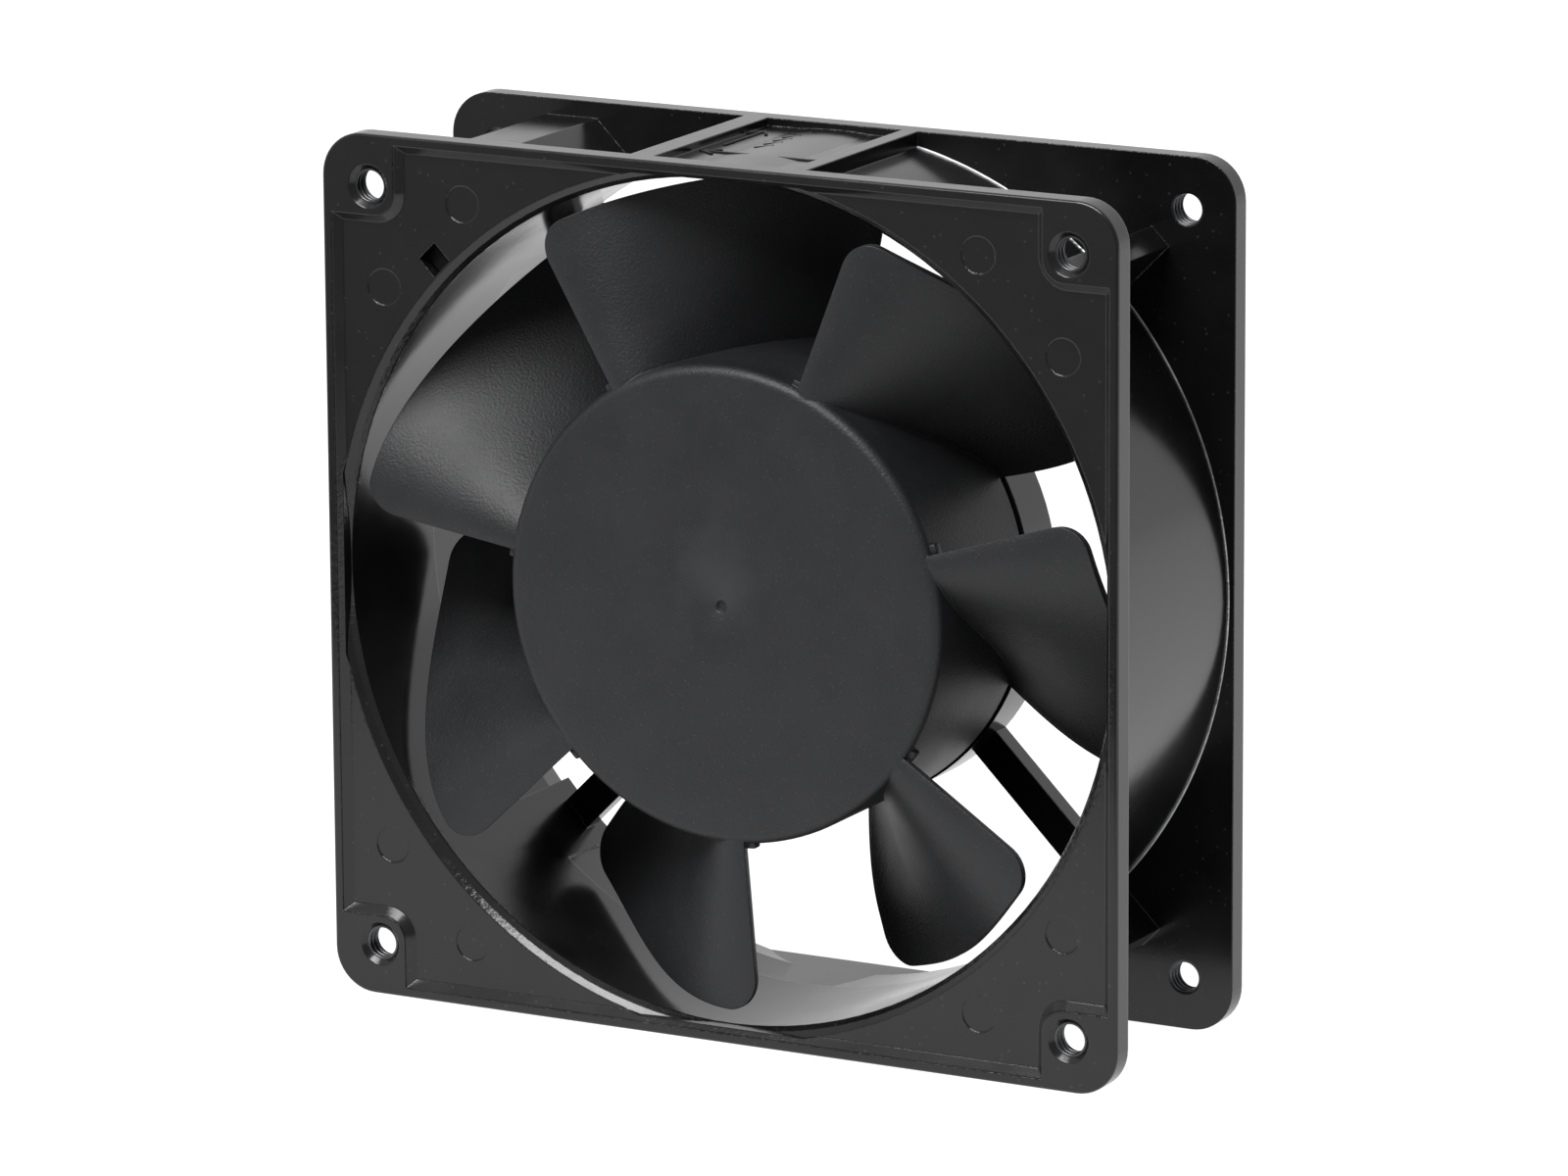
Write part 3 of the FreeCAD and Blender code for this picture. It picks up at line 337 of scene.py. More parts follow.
    def bump(
        self, tree: bpy.types.NodeTree, place: bpy.types.NodeSocket, fine: bpy.types.NodeSocket
    ) -> bpy.types.NodeSocket:
        """Add the bump that the process leaves, over softened edges where the finish has them.

        Args:
            tree: Node tree that gets the nodes.
            place: Coordinates in metres.
            fine: Noise at the grain's size.

        Returns:
            The normal socket.
        """
        height = fine
        if self.grain in (Grain.TURNED, Grain.LAMINATED, Grain.WOUND):
            stretch = {
                Grain.TURNED: (0.15, 1.0, 0.15),
                Grain.LAMINATED: (0.02, 1.0, 0.02),
                Grain.WOUND: (0.05, 1.0, 0.05),
            }[self.grain]
            along = add_node(tree, "ShaderNodeMapping", Vector=place)
            along.inputs["Scale"].default_value = stretch
            height = self.noise(tree, along.outputs["Vector"], self.grain_mm, detail=1.0)
        settings = {}
        if self.edge_mm > 0:
            edge = add_node(tree, "ShaderNodeBevel", {"samples": 8}, Radius=self.edge_mm * MM)
            settings["Normal"] = edge.outputs["Normal"]
        if self.edge_grain > 0:
            settings["Normal"] = self.edge_bump(tree, place, settings["Normal"])
        if self.grain is Grain.CAST_PAINT:
            wide = self.noise(tree, place, self.grain_mm * SWELL_SIZE, detail=2.0)
            swell = add_node(tree, "ShaderNodeBump", Height=wide, Strength=1.0,
                             Distance=self.grain_depth_mm * SWELL_HEIGHT * MM, **settings)
            settings["Normal"] = swell.outputs["Normal"]
        node = add_node(tree, "ShaderNodeBump", Height=height, Strength=1.0,
                        Distance=self.grain_depth_mm * MM, **settings)
        return node.outputs["Normal"]

    def edge_bump(
        self, tree: bpy.types.NodeTree, place: bpy.types.NodeSocket, normal: bpy.types.NodeSocket
    ) -> bpy.types.NodeSocket:
        """Roughen the rounded edges alone, where a casting's skin is pitted.

        Args:
            tree: Node tree that gets the nodes.
            place: Coordinates in metres.
            normal: Normal with its edges rounded.

        Returns:
            The normal socket.
        """
        flat = add_node(tree, "ShaderNodeNewGeometry").outputs["Normal"]
        along = add_node(tree, "ShaderNodeVectorMath", {"operation": "DOT_PRODUCT"},
                         i0=normal, i1=flat)
        near_edge = spread(tree, along.outputs["Value"], self.edge_grain, 0.0, *EDGE_BAND)
        if self.lip_radii_mm is not None:
            near_edge = add_node(tree, "ShaderNodeMath", {"operation": "MAXIMUM"}, i0=near_edge,
                                 i1=self.on_lip(tree, place)).outputs["Value"]
        pits = self.noise(tree, place, self.pit_mm, detail=2.0)
        node = add_node(tree, "ShaderNodeBump", Height=pits, Strength=near_edge,
                        Distance=self.edge_mm * MM, Normal=normal)
        return node.outputs["Normal"]

    def on_lip(
        self, tree: bpy.types.NodeTree, place: bpy.types.NodeSocket
    ) -> bpy.types.NodeSocket:
        """Pick out the rounded lip round the air's way in, before the lip's depth.

        Args:
            tree: Node tree that gets the nodes.
            place: Coordinates in metres.

        Returns:
            The edge grain on the lip and zero off it.
        """
        inner, outer = (radius * MM for radius in self.lip_radii_mm or (0.0, 0.0))
        parts = add_node(tree, "ShaderNodeSeparateXYZ", Vector=place)
        flat = add_node(tree, "ShaderNodeCombineXYZ", X=parts.outputs["X"], Z=parts.outputs["Z"])
        radius = add_node(tree, "ShaderNodeVectorMath", {"operation": "LENGTH"},
                          i0=flat.outputs["Vector"]).outputs["Value"]
        near = add_node(tree, "ShaderNodeMath", {"operation": "COMPARE"}, i0=radius,
                        i1=(inner + outer) / 2, i2=(outer - inner) / 2)
        front = add_node(tree, "ShaderNodeMath", {"operation": "LESS_THAN"},
                         i0=parts.outputs["Y"], i1=self.lip_depth_mm * MM)
        both = add_node(tree, "ShaderNodeMath", {"operation": "MULTIPLY"},
                        i0=near.outputs["Value"], i1=front.outputs["Value"])
        return spread(tree, both.outputs["Value"], 0.0, self.edge_grain * self.lip_share)


# Glossy black paint on a die casting: near-black, mirror-like enough to show the table's edge,
# with pitted edges that sparkle.
PAINT = Finish("painted_die_casting", Grain.CAST_PAINT, "#0b0b0c", "#101011", roughness=0.19,
               roughness_drift=0.03, ior=1.5, specular=0.47, grain_mm=0.5, grain_depth_mm=0.004,
               fleck="#29292b", fleck_share=0.3, edge_mm=0.3, edge_grain=0.75,
               lip_radii_mm=(57.3, 59.3), lip_depth_mm=-15.5)
# The same paint on small raised strokes: duller, so that they read as plain dark lines.
STROKE_PAINT = replace(PAINT, name="painted_raised_strokes", roughness=0.55, specular=0.3,
                       edge_mm=0.0, edge_grain=0.0, lip_radii_mm=None)
# Glass-filled nylon from a spark-eroded mould: matt charcoal with a fine pale grain, and a painted
# highlight: a paler patch near the middle of the hub.
HUB_NYLON = Finish("spark_textured_nylon", Grain.SPARK_ERODED, "#17181a", "#1b1c1e",
                   roughness=0.5, roughness_drift=0.03, ior=1.48, specular=0.42, grain_mm=0.36,
                   grain_depth_mm=0.07, fleck="#2d2e31", fleck_share=0.7, edge_mm=0.2,
                   painted_highlight="#26272a", painted_highlight_at_mm=(-1.8, -17.2, 4.5), painted_highlight_mm=9.0)
# Black nylon, plainly moulded, darkened to almost lightless as painted shade, so that the pocket's
# mouth reads as a dark hole.
HOLDER_NYLON_PAINTED_SHADE = Finish("black_nylon_painted_shade", Grain.MOULDED, "#050505", "#080808", roughness=0.62,
                      specular=0.2, grain_mm=0.6, grain_depth_mm=0.008, edge_mm=0.2)
# Off-white nylon of the winding insulators.
INSULATOR_NYLON = Finish("natural_nylon", Grain.MOULDED, "#cfc9b6", "#dcd6c4", roughness=0.45,
                         grain_mm=0.8, grain_depth_mm=0.01, edge_mm=0.15)
# Ground bearing steel: bright, with turning marks round the axis.
BRIGHT_STEEL = Finish("ground_steel", Grain.TURNED, "#b4b6b9", "#c6c8ca", roughness=0.22,
                      metallic=1.0, grain_mm=0.25, grain_depth_mm=0.004)
# Drawn steel of the rotor cup: greyer and duller than the ground parts.
DRAWN_STEEL = Finish("drawn_steel", Grain.TURNED, "#8b8d90", "#9c9ea1", roughness=0.34,
                     metallic=1.0, grain_mm=0.4, grain_depth_mm=0.006)
# Stacked electrical steel: fine dark lines at each sheet.
SHEET_STEEL = Finish("stacked_electrical_steel", Grain.LAMINATED, "#5b5d61", "#77797d",
                     roughness=0.4, metallic=0.9, grain_mm=0.5, grain_depth_mm=0.02)
# Die-cast aluminium left bare, as in a squirrel cage.
BARE_CASTING = Finish("bare_die_casting", Grain.MOULDED, "#a9abad", "#bcbec0", roughness=0.42,
                      metallic=1.0, grain_mm=0.7, grain_depth_mm=0.012)
# Enamelled copper wire: warm red-brown, ridged by its turns.
ENAMELLED_COPPER = Finish("enamelled_copper", Grain.WOUND, "#8e4a26", "#b5653a", roughness=0.28,
                          metallic=0.85, grain_mm=0.5, grain_depth_mm=0.05, coat=0.4)
# Pressed brass of the ball cages.
PRESSED_BRASS = Finish("pressed_brass", Grain.TURNED, "#b08d45", "#c6a354", roughness=0.3,
                       metallic=1.0, grain_mm=0.4, grain_depth_mm=0.005)
# Tinned brass of the spade tabs: pale and slightly cloudy.
TINNED_BRASS = Finish("tinned_brass", Grain.TURNED, "#b9b7ae", "#cfcdc4", roughness=0.3,
                      metallic=1.0, grain_mm=0.3, grain_depth_mm=0.005, edge_mm=0.08)
# PVC lead insulation: black with a soft sheen.
LEAD_PVC = Finish("pvc_lead_insulation", Grain.MOULDED, "#101011", "#161617", roughness=0.4,
                  grain_mm=0.5, grain_depth_mm=0.006)
# Thread cut through the paint into the casting: dark metal that catches light on its crests.
CUT_THREAD = Finish("cut_thread", Grain.TURNED, "#48494b", "#58595b", roughness=0.3,
                    metallic=1.0, grain_mm=0.3, grain_depth_mm=0.004)
# Bright metal on a thin bead: a painted highlight, a sparkling line where the tube's fillet meets
# the flange.
HIGHLIGHT_BEAD_METAL = Finish("bright_metal_painted_highlight", Grain.MOULDED, "#9c9d9f", "#c4c5c7", roughness=0.36,
                   metallic=1.0, grain_mm=0.6, grain_depth_mm=0.15)
# Blank foil label: pale grey, lightly brushed.
LABEL_FOIL = Finish("matt_foil", Grain.TURNED, "#9d9fa2", "#adafb2", roughness=0.38,
                    metallic=0.9, grain_mm=0.3, grain_depth_mm=0.004)

NODE_FINISHES = {
    "housing": PAINT,
    "terminal_holder": HOLDER_NYLON_PAINTED_SHADE,
    "rear_label": LABEL_FOIL,
    "rotor_cup": DRAWN_STEEL,
    "rotor_core": SHEET_STEEL,
    "stator_core": SHEET_STEEL,
    "squirrel_cage": BARE_CASTING,
    "rotor_boss": BARE_CASTING,
    "impeller": HUB_NYLON,
}
SLOT_FINISHES = {
    "painted_aluminium": PAINT,
    "hub_plastic": HUB_NYLON,
    "bright_steel": BRIGHT_STEEL,
    "brass_cage": PRESSED_BRASS,
    "copper": ENAMELLED_COPPER,
    "insulator_plastic": INSULATOR_NYLON,
    "tinned_brass": TINNED_BRASS,
    "lead_insulation": LEAD_PVC,
}


class Workshop:
    """Materials made once each, and the steps that every new piece shares."""

    def __init__(self) -> None:
        """Start with no materials made."""
        self.made: dict[str, bpy.types.Material] = {}

    def material(self, finish: Finish) -> bpy.types.Material:
        """Give the finish's material, made on first use."""
        if finish.name not in self.made:
            self.made[finish.name] = finish.make()
        return self.made[finish.name]

    def dress(self, piece: bpy.types.Object, finish: Finish) -> None:
        """Give a piece one finish all over."""
        piece.data.materials.clear()
        piece.data.materials.append(self.material(finish))

    def dress_node(self, name: str, finish: Finish) -> None:
        """Give a CAD node's material slots a finish."""
        for place in frame["nodes"][name].material_slots:
            place.material = self.material(finish)

    def settle(
        self, piece: bpy.types.Object, name: str, body: str, finish: Finish
    ) -> bpy.types.Object:
        """Name a finished piece, apply its place, dress it and ride it on its body.

        Args:
            piece: The piece, in its place.
            name: The piece's name.
            body: CAD body that it moves with.
            finish: Its finish.

        Returns:
            The piece.
        """
        only(piece)
        bpy.ops.object.transform_apply(location=True, rotation=True, scale=True)
        piece.name = name
        piece.data.name = name
        self.dress(piece, finish)
        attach(piece, body)
        LOG.info("%s: %d faces on %s", name, len(piece.data.polygons), body)
        return piece


# ------------------------------------------------------------------ modelling helpers

def only(piece: bpy.types.Object) -> None:
    """Select one object alone and make it active."""
    bpy.ops.object.select_all(action="DESELECT")
    piece.select_set(True)
    bpy.context.view_layer.objects.active = piece


def apply_modifier(piece: bpy.types.Object, kind: str, **settings: object) -> None:
    """Add a modifier with settings and apply it.

    Args:
        piece: Object that gets the modifier.
        kind: Modifier type.
        **settings: Attributes of the modifier.
    """
    only(piece)
    modifier = piece.modifiers.new(kind.title(), kind)
    for name, value in settings.items():
        setattr(modifier, name, value)
    bpy.ops.object.modifier_apply(modifier=modifier.name)


def join(pieces: Sequence[bpy.types.Object]) -> bpy.types.Object:
    """Join pieces into the first one."""
    only(pieces[0])
    for piece in pieces:
        piece.select_set(True)
    bpy.ops.object.join()
    return bpy.context.object


def copy_turned(piece: bpy.types.Object, angle: float) -> bpy.types.Object:
    """Copy a piece with its own mesh, turned about the rotor's axis.

    Args:
        piece: Piece to copy.
        angle: Turn in radians, anticlockwise seen from the inlet side.

    Returns:
        The copy.
    """
    twin = piece.copy()
    twin.data = piece.data.copy()
    bpy.context.scene.collection.objects.link(twin)
    twin.data.transform(Matrix.Rotation(-angle, 4, "Y"))
    return twin


def one_vertex(place: Sequence[float]) -> bpy.types.Object:
    """Start a piece from one selected vertex, and leave it in edit mode.

    Args:
        place: Where the vertex stands, in metres.

    Returns:
        The piece.
    """
    bpy.ops.object.select_all(action="DESELECT")
    bpy.ops.mesh.primitive_plane_add(size=MM)
    piece = bpy.context.object
    bpy.ops.object.mode_set(mode="EDIT")
    mesh = bmesh.from_edit_mesh(piece.data)
    bmesh.ops.delete(mesh, geom=list(mesh.verts)[1:], context="VERTS")
    mesh.verts.ensure_lookup_table()
    mesh.verts[0].co = place
    mesh.verts[0].select = True
    bmesh.update_edit_mesh(piece.data)
    return piece


def lathe(outline: Sequence[tuple[float, float]], steps: int) -> bpy.types.Object:
    """Spin an outline about the rotor's axis.

    Args:
        outline: Corners as (radius, depth) in metres, from the front centre to the last corner.
        steps: Faces round the axis.

    Returns:
        The spun piece.
    """
    piece = one_vertex((*outline[0], 0.0))
    for before, after in zip(outline, outline[1:]):
        step = (after[0] - before[0], after[1] - before[1], 0.0)
        bpy.ops.mesh.extrude_vertices_move(TRANSFORM_OT_translate={"value": step})
    bpy.ops.mesh.select_all(action="SELECT")
    bpy.ops.mesh.spin(steps=steps, angle=math.tau, center=(0, 0, 0), axis=(0, 1, 0))
    bpy.ops.mesh.select_all(action="SELECT")
    bpy.ops.mesh.remove_doubles(threshold=WELD)
    bpy.ops.mesh.normals_make_consistent(inside=False)
    bpy.ops.object.mode_set(mode="OBJECT")
    return piece


def smooth(piece: bpy.types.Object, degrees: float) -> None:
    """Shade a piece smooth except across edges sharper than an angle."""
    only(piece)
    bpy.ops.object.shade_smooth_by_angle(angle=math.radians(degrees))


# ------------------------------------------------------------------ impeller

@dataclass
class Impeller:
    """Moulded hub and seven blades, one piece on the rotor."""

    hub_radius: float = 32.5 * MM
    hub_front: float = -17.2 * MM
    hub_rear: float = 8.2 * MM
    hub_round: float = 1.5 * MM
    shell_inner: float = 30.95 * MM
    shell_floor: float = -15.65 * MM
    dimple_radius: float = 0.8 * MM
    dimple_depth: float = 0.5 * MM
    dimple_floor: float = 0.8
    dimple_bevel: tuple[float, float] = (0.12 * MM, 0.08 * MM)
    rear_bevel: float = 0.3 * MM
    hub_facets: int = 144
    rim_steps: int = 6
    blade_count: int = 7
    lead_angle: float = 17.7
    span_tip: float = 44.7
    span_root: float = 40.3
    root: float = 31.6 * MM
    tip: float = 55.5 * MM
    corner: float = 4.5 * MM
    camber_depths: tuple[float, ...] = (-15.9 * MM, -18.5 * MM, 5.3 * MM, 8.7 * MM)
    thick_root: float = 1.6 * MM
    thin_tip: float = 0.72
    blade_grid: tuple[int, int] = (30, 26)
    blade_round: float = 0.28 * MM
    span_growth: float = 1.5
    span_floor: float = -0.1
    trail_trim: float = 0.035
    step_size: tuple[float, ...] = (1.4 * MM, 1.6 * MM, 1.7 * MM)
    step_front: float = -16.0 * MM
    step_proud: float = 0.05 * MM
    step_lead: float = 0.2 * MM
    step_round: float = 0.3 * MM

    def build(self, shop: Workshop) -> bpy.types.Object:
        """Model hub, blades and root steps, and join them.

        Args:
            shop: Gives the finish.

        Returns:
            The impeller.
        """
        blade = self.first_blade()
        step = self.root_step()
        pieces = [self.hub(), blade, step]
        for index in range(1, self.blade_count):
            turn = math.tau * index / self.blade_count
            pieces.append(copy_turned(blade, turn))
            pieces.append(copy_turned(step, turn))
        whole = join(pieces)
        smooth(whole, 38)
        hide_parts("impeller")
        return shop.settle(whole, "impeller_moulding", ROTOR_BODY, HUB_NYLON)

    def hub(self) -> bpy.types.Object:
        """Spin the hub shell, with its rounded rim and the dimple at its centre."""
        rim = [
            (self.hub_radius - self.hub_round * (1 - math.sin(turn)),
             self.hub_front + self.hub_round * (1 - math.cos(turn)))
            for turn in (math.pi / 2 * step / self.rim_steps for step in range(self.rim_steps + 1))
        ]
        bevel_out, bevel_in = self.dimple_bevel
        outline = [
            (0.0, self.hub_front + self.dimple_depth),
            (self.dimple_radius * self.dimple_floor, self.hub_front + self.dimple_depth),
            (self.dimple_radius, self.hub_front + bevel_in),
            (self.dimple_radius + bevel_out, self.hub_front),
            *[(self.hub_radius * share, self.hub_front) for share in (0.2, 0.5, 0.8)],
            *rim,
            (self.hub_radius, self.hub_rear - self.rear_bevel),
            (self.hub_radius - self.rear_bevel, self.hub_rear),
            (self.shell_inner, self.hub_rear),
            (self.shell_inner, self.shell_floor),
            (0.0, self.shell_floor),
        ]
        return lathe(outline, self.hub_facets)

    def camber(self, share: float) -> float:
        """Give the depth of the blade's middle line at a share of the way to its trailing edge."""
        rest = 1 - share
        weights = (rest ** 3, 3 * rest ** 2 * share, 3 * rest * share ** 2, share ** 3)
        return sum(w * d for w, d in zip(weights, self.camber_depths))

    def span(self, radius: float) -> float:
        """Give the angle in degrees that the blade covers at a radius."""
        out = (radius - self.hub_radius) / (self.tip - self.hub_radius)
        grown = 1 - (1 - min(max(out * self.span_growth, self.span_floor), 1.0)) ** 2
        return self.span_root + (self.span_tip - self.span_root) * grown

    def blade_point(self, across: float, out: float) -> Vector:
        """Place a point of the blade's middle face.

        Args:
            across: 0 at the leading edge to 1 at the trailing edge.
            out: 0 at the root to 1 at the tip.

        Returns:
            The point in metres.
        """
        radius = self.root + (self.tip - self.root) * out
        start = self.tip - self.corner
        inset = 0.0
        if radius > start:
            rise = radius - start
            inset = self.corner - math.sqrt(max(self.corner ** 2 - rise ** 2, 0.0))
        span = self.span(radius)
        trim = math.degrees(inset / radius) / span
        share = (trim + (1 - 2 * trim) * across) * (1.0 - self.trail_trim * out)
        turn = math.radians(self.lead_angle - span * share)
        return Vector((radius * math.cos(turn), self.camber(share), radius * math.sin(turn)))

    def first_blade(self) -> bpy.types.Object:
        """Bend a grid to the blade's middle face, thicken it and round its edges."""
        columns, rows = self.blade_grid
        bpy.ops.object.select_all(action="DESELECT")
        bpy.ops.mesh.primitive_grid_add(x_subdivisions=columns, y_subdivisions=rows, size=1.0)
        piece = bpy.context.object
        weights = {}
        for vertex in piece.data.vertices:
            across = vertex.co.x + 0.5
            out = math.sin((vertex.co.y + 0.5) * math.pi / 2)
            weights[vertex.index] = 1.0 - (1.0 - self.thin_tip) * out
            vertex.co = self.blade_point(across, out)
        group = piece.vertex_groups.new(name="thickness")
        for index, weight in weights.items():
            group.add([index], weight, "REPLACE")
        apply_modifier(piece, "SOLIDIFY", thickness=self.thick_root, offset=0.0,
                       vertex_group="thickness", use_even_offset=True)
        apply_modifier(piece, "BEVEL", width=self.blade_round, segments=3, limit_method="ANGLE",
                       angle_limit=math.radians(50), harden_normals=False)
        only(piece)
        bpy.ops.object.mode_set(mode="EDIT")
        bpy.ops.mesh.select_all(action="SELECT")
        bpy.ops.mesh.normals_make_consistent(inside=False)
        bpy.ops.object.mode_set(mode="OBJECT")
        return piece

    def root_step(self) -> bpy.types.Object:
        """Model the small step beside the leading edge at the hub's rim."""
        out, depth, width = self.step_size
        turn = math.radians(self.lead_angle)
        bpy.ops.object.select_all(action="DESELECT")
        bpy.ops.mesh.primitive_cube_add(size=1.0)
        piece = bpy.context.object
        piece.scale = (out, depth, width)
        piece.location = (self.hub_radius + self.step_proud, self.step_front + depth / 2,
                          width / 2 - self.step_lead)
        bpy.ops.object.transform_apply(location=True, rotation=True, scale=True)
        apply_modifier(piece, "BEVEL", width=self.step_round, segments=2)
        piece.data.transform(Matrix.Rotation(-turn, 4, "Y"))
        return piece


# ------------------------------------------------------------------ housing details

@dataclass
class HoleThreads:
    """Thread ridges in the four front and four rear mounting holes."""

    place: float = 52.4 * MM
    bore: float = 2.25 * MM
    ridge: float = 0.24 * MM
    pitch: float = 0.85 * MM
    facets: tuple[int, int] = (40, 8)
    spans: tuple[tuple[float, float], ...] = ((-18.1, -15.9), (15.95, 18.7))

    def build(self, shop: Workshop) -> None:
        """Model the ridges of one hole per flange and copy them to every corner."""
        for label, (front, rear) in zip(("front", "rear"), self.spans):
            source = self.ridges(front * MM, rear * MM)
            for corner in Corner:
                right, up = corner.value
                twin = source.copy()
                twin.data = source.data.copy()
                bpy.context.scene.collection.objects.link(twin)
                twin.data.transform(Matrix.Translation((right * self.place, 0, up * self.place)))
                name = f"thread_{label}_{corner.name.lower()}"
                shop.settle(twin, name, FRAME_BODY, CUT_THREAD)
            bpy.data.objects.remove(source)

    def ridges(self, front: float, rear: float) -> bpy.types.Object:
        """Model the ridges of one hole.

        Args:
            front: Depth where they start.
            rear: Depth where they stop.

        Returns:
            The ridges, about the rotor's axis.
        """
        count = int((rear - front) / self.pitch) + 1
        around, across = self.facets
        rings = []
        for index in range(count):
            bpy.ops.object.select_all(action="DESELECT")
            bpy.ops.mesh.primitive_torus_add(
                major_radius=self.bore, minor_radius=self.ridge, major_segments=around,
                minor_segments=across, rotation=(math.pi / 2, 0, 0),
                location=(0, front + index * self.pitch, 0))
            bpy.ops.object.transform_apply(location=True, rotation=True, scale=True)
            rings.append(bpy.context.object)
        whole = join(rings)
        smooth(whole, 60)
        return whole


@dataclass
class FilletHighlightBead:
    """Thin bright bead round the tube, before the motor-side flange: a painted highlight along the
    fillet there.
    """

    radius: float = 58.65 * MM
    depth: float = 15.6 * MM
    bead: float = 0.22 * MM
    flatness: float = 0.6
    facets: tuple[int, int] = (240, 10)
    panel_ends: tuple[float, float] = (-14.0 * MM, 10.5 * MM)

    def build(self, shop: Workshop) -> bpy.types.Object:
        """Model the bead and settle it."""
        around, across = self.facets
        bpy.ops.object.select_all(action="DESELECT")
        bpy.ops.mesh.primitive_torus_add(
            major_radius=self.radius, minor_radius=self.bead, major_segments=around,
            minor_segments=across, rotation=(math.pi / 2, 0, 0), location=(0, self.depth, 0))
        piece = bpy.context.object
        bpy.ops.object.transform_apply(location=True, rotation=True, scale=True)
        for vertex in piece.data.vertices:
            vertex.co.y = self.depth + (vertex.co.y - self.depth) * self.flatness
        self.open_at_panel(piece)
        smooth(piece, 60)
        return shop.settle(piece, "fillet_highlight_bead", FRAME_BODY, HIGHLIGHT_BEAD_METAL)

    def open_at_panel(self, piece: bpy.types.Object) -> None:
        """Take the bead away across the top panel and close its two ends."""
        left, right = self.panel_ends
        only(piece)
        bpy.ops.object.mode_set(mode="EDIT")
        mesh = bmesh.from_edit_mesh(piece.data)
        across = [vertex for vertex in mesh.verts
                  if vertex.co.z > 0 and left < vertex.co.x < right]
        bmesh.ops.delete(mesh, geom=across, context="VERTS")
        bmesh.update_edit_mesh(piece.data)
        bpy.ops.mesh.select_all(action="SELECT")
        bpy.ops.mesh.fill_holes(sides=0)
        bpy.ops.mesh.normals_make_consistent(inside=False)
        bpy.ops.object.mode_set(mode="OBJECT")


@dataclass
class PanelMarks:
    """Raised strokes on the top panel: the air's way, the way of rotation and a chevron row."""

    top: float = 58.4 * MM
    sunk: float = 0.1 * MM
    height: float = 0.2 * MM
    stroke: float = 0.5 * MM
    air_x: float = -8.6 * MM
    air_ends: tuple[float, float] = (0.2 * MM, 11.6 * MM)
    spin_y: float = -4.5 * MM
    spin_ends: tuple[float, float] = (6.5 * MM, -9.4 * MM)
    spin_hook: float = 2.2 * MM
    head_length: float = 2.4 * MM
    head_half: float = 1.5 * MM
    chevron_x: float = -2.5 * MM
    chevron_start: float = 2.6 * MM
    chevron_step: float = 2.6 * MM
    chevron_count: int = 5
    stroke_round: float = 0.1 * MM
    hook_steps: int = 6

    def build(self, shop: Workshop) -> None:
        """Model every mark and settle it."""
        marks = {
            "airflow_arrow": self.airflow(),
            "rotation_arrow": self.rotation(),
            "chevron_row": self.chevrons(),
        }
        for name, piece in marks.items():
            shop.settle(piece, name, FRAME_BODY, STROKE_PAINT)

    def airflow(self) -> bpy.types.Object:
        """Model the straight arrow that points to the motor side."""
        start, tip = self.air_ends
        return join([
            self.raised([(self.air_x, start), (self.air_x, tip)]),
            self.head(self.air_x, tip, (0, 1)),
        ])

    def rotation(self) -> bpy.types.Object:
        """Model the arrow across the panel, hooked at its tail."""
        start, tip = self.spin_ends
        hook = self.spin_hook
        turns = [math.pi / 2 * step / self.hook_steps for step in range(self.hook_steps + 1)]
        bend = [(start + hook * math.sin(turn), self.spin_y + hook * (1 - math.cos(turn)))
                for turn in reversed(turns)]
        stem = self.raised([*bend, (tip, self.spin_y)])
        return join([stem, self.head(tip, self.spin_y, (-1, 0))])

    def chevrons(self) -> bpy.types.Object:
        """Model the row of chevrons that points the way of the air."""
        return join([
            self.head(self.chevron_x, self.chevron_start + index * self.chevron_step, (0, 1))
            for index in range(self.chevron_count)
        ])

    def head(self, x: float, y: float, way: tuple[int, int]) -> bpy.types.Object:
        """Model an open arrowhead.

        Args:
            x: Its tip.
            y: Its tip.
            way: Unit step that it points along.

        Returns:
            The arrowhead.
        """
        back = (x - way[0] * self.head_length, y - way[1] * self.head_length)
        side = (way[1] * self.head_half, way[0] * self.head_half)
        return self.raised([
            (back[0] + side[0], back[1] + side[1]), (x, y), (back[0] - side[0], back[1] - side[1])
        ])

    def raised(self, points: Sequence[tuple[float, float]]) -> bpy.types.Object:
        """Draw a stroke through points of the panel and raise it.

        Args:
            points: Places as (x, y) in metres.

        Returns:
            The stroke.
        """
        piece = one_vertex((*points[0], self.top - self.sunk))
        for before, after in zip(points, points[1:]):
            step = (after[0] - before[0], after[1] - before[1], 0.0)
            bpy.ops.mesh.extrude_vertices_move(TRANSFORM_OT_translate={"value": step})
        bpy.ops.mesh.select_all(action="SELECT")
        bpy.ops.mesh.extrude_edges_move(
            TRANSFORM_OT_translate={"value": (0, 0, self.height + self.sunk)})
        bpy.ops.object.mode_set(mode="OBJECT")
        apply_modifier(piece, "SOLIDIFY", thickness=self.stroke, offset=0.0,
                       use_even_offset=True)
        apply_modifier(piece, "BEVEL", width=self.stroke_round, segments=2, limit_method="ANGLE",
                       angle_limit=math.radians(40))
        only(piece)
        bpy.ops.object.mode_set(mode="EDIT")
        bpy.ops.mesh.select_all(action="SELECT")
        bpy.ops.mesh.normals_make_consistent(inside=False)
        bpy.ops.object.mode_set(mode="OBJECT")
        smooth(piece, 40)
        return piece


# ------------------------------------------------------------------ studio

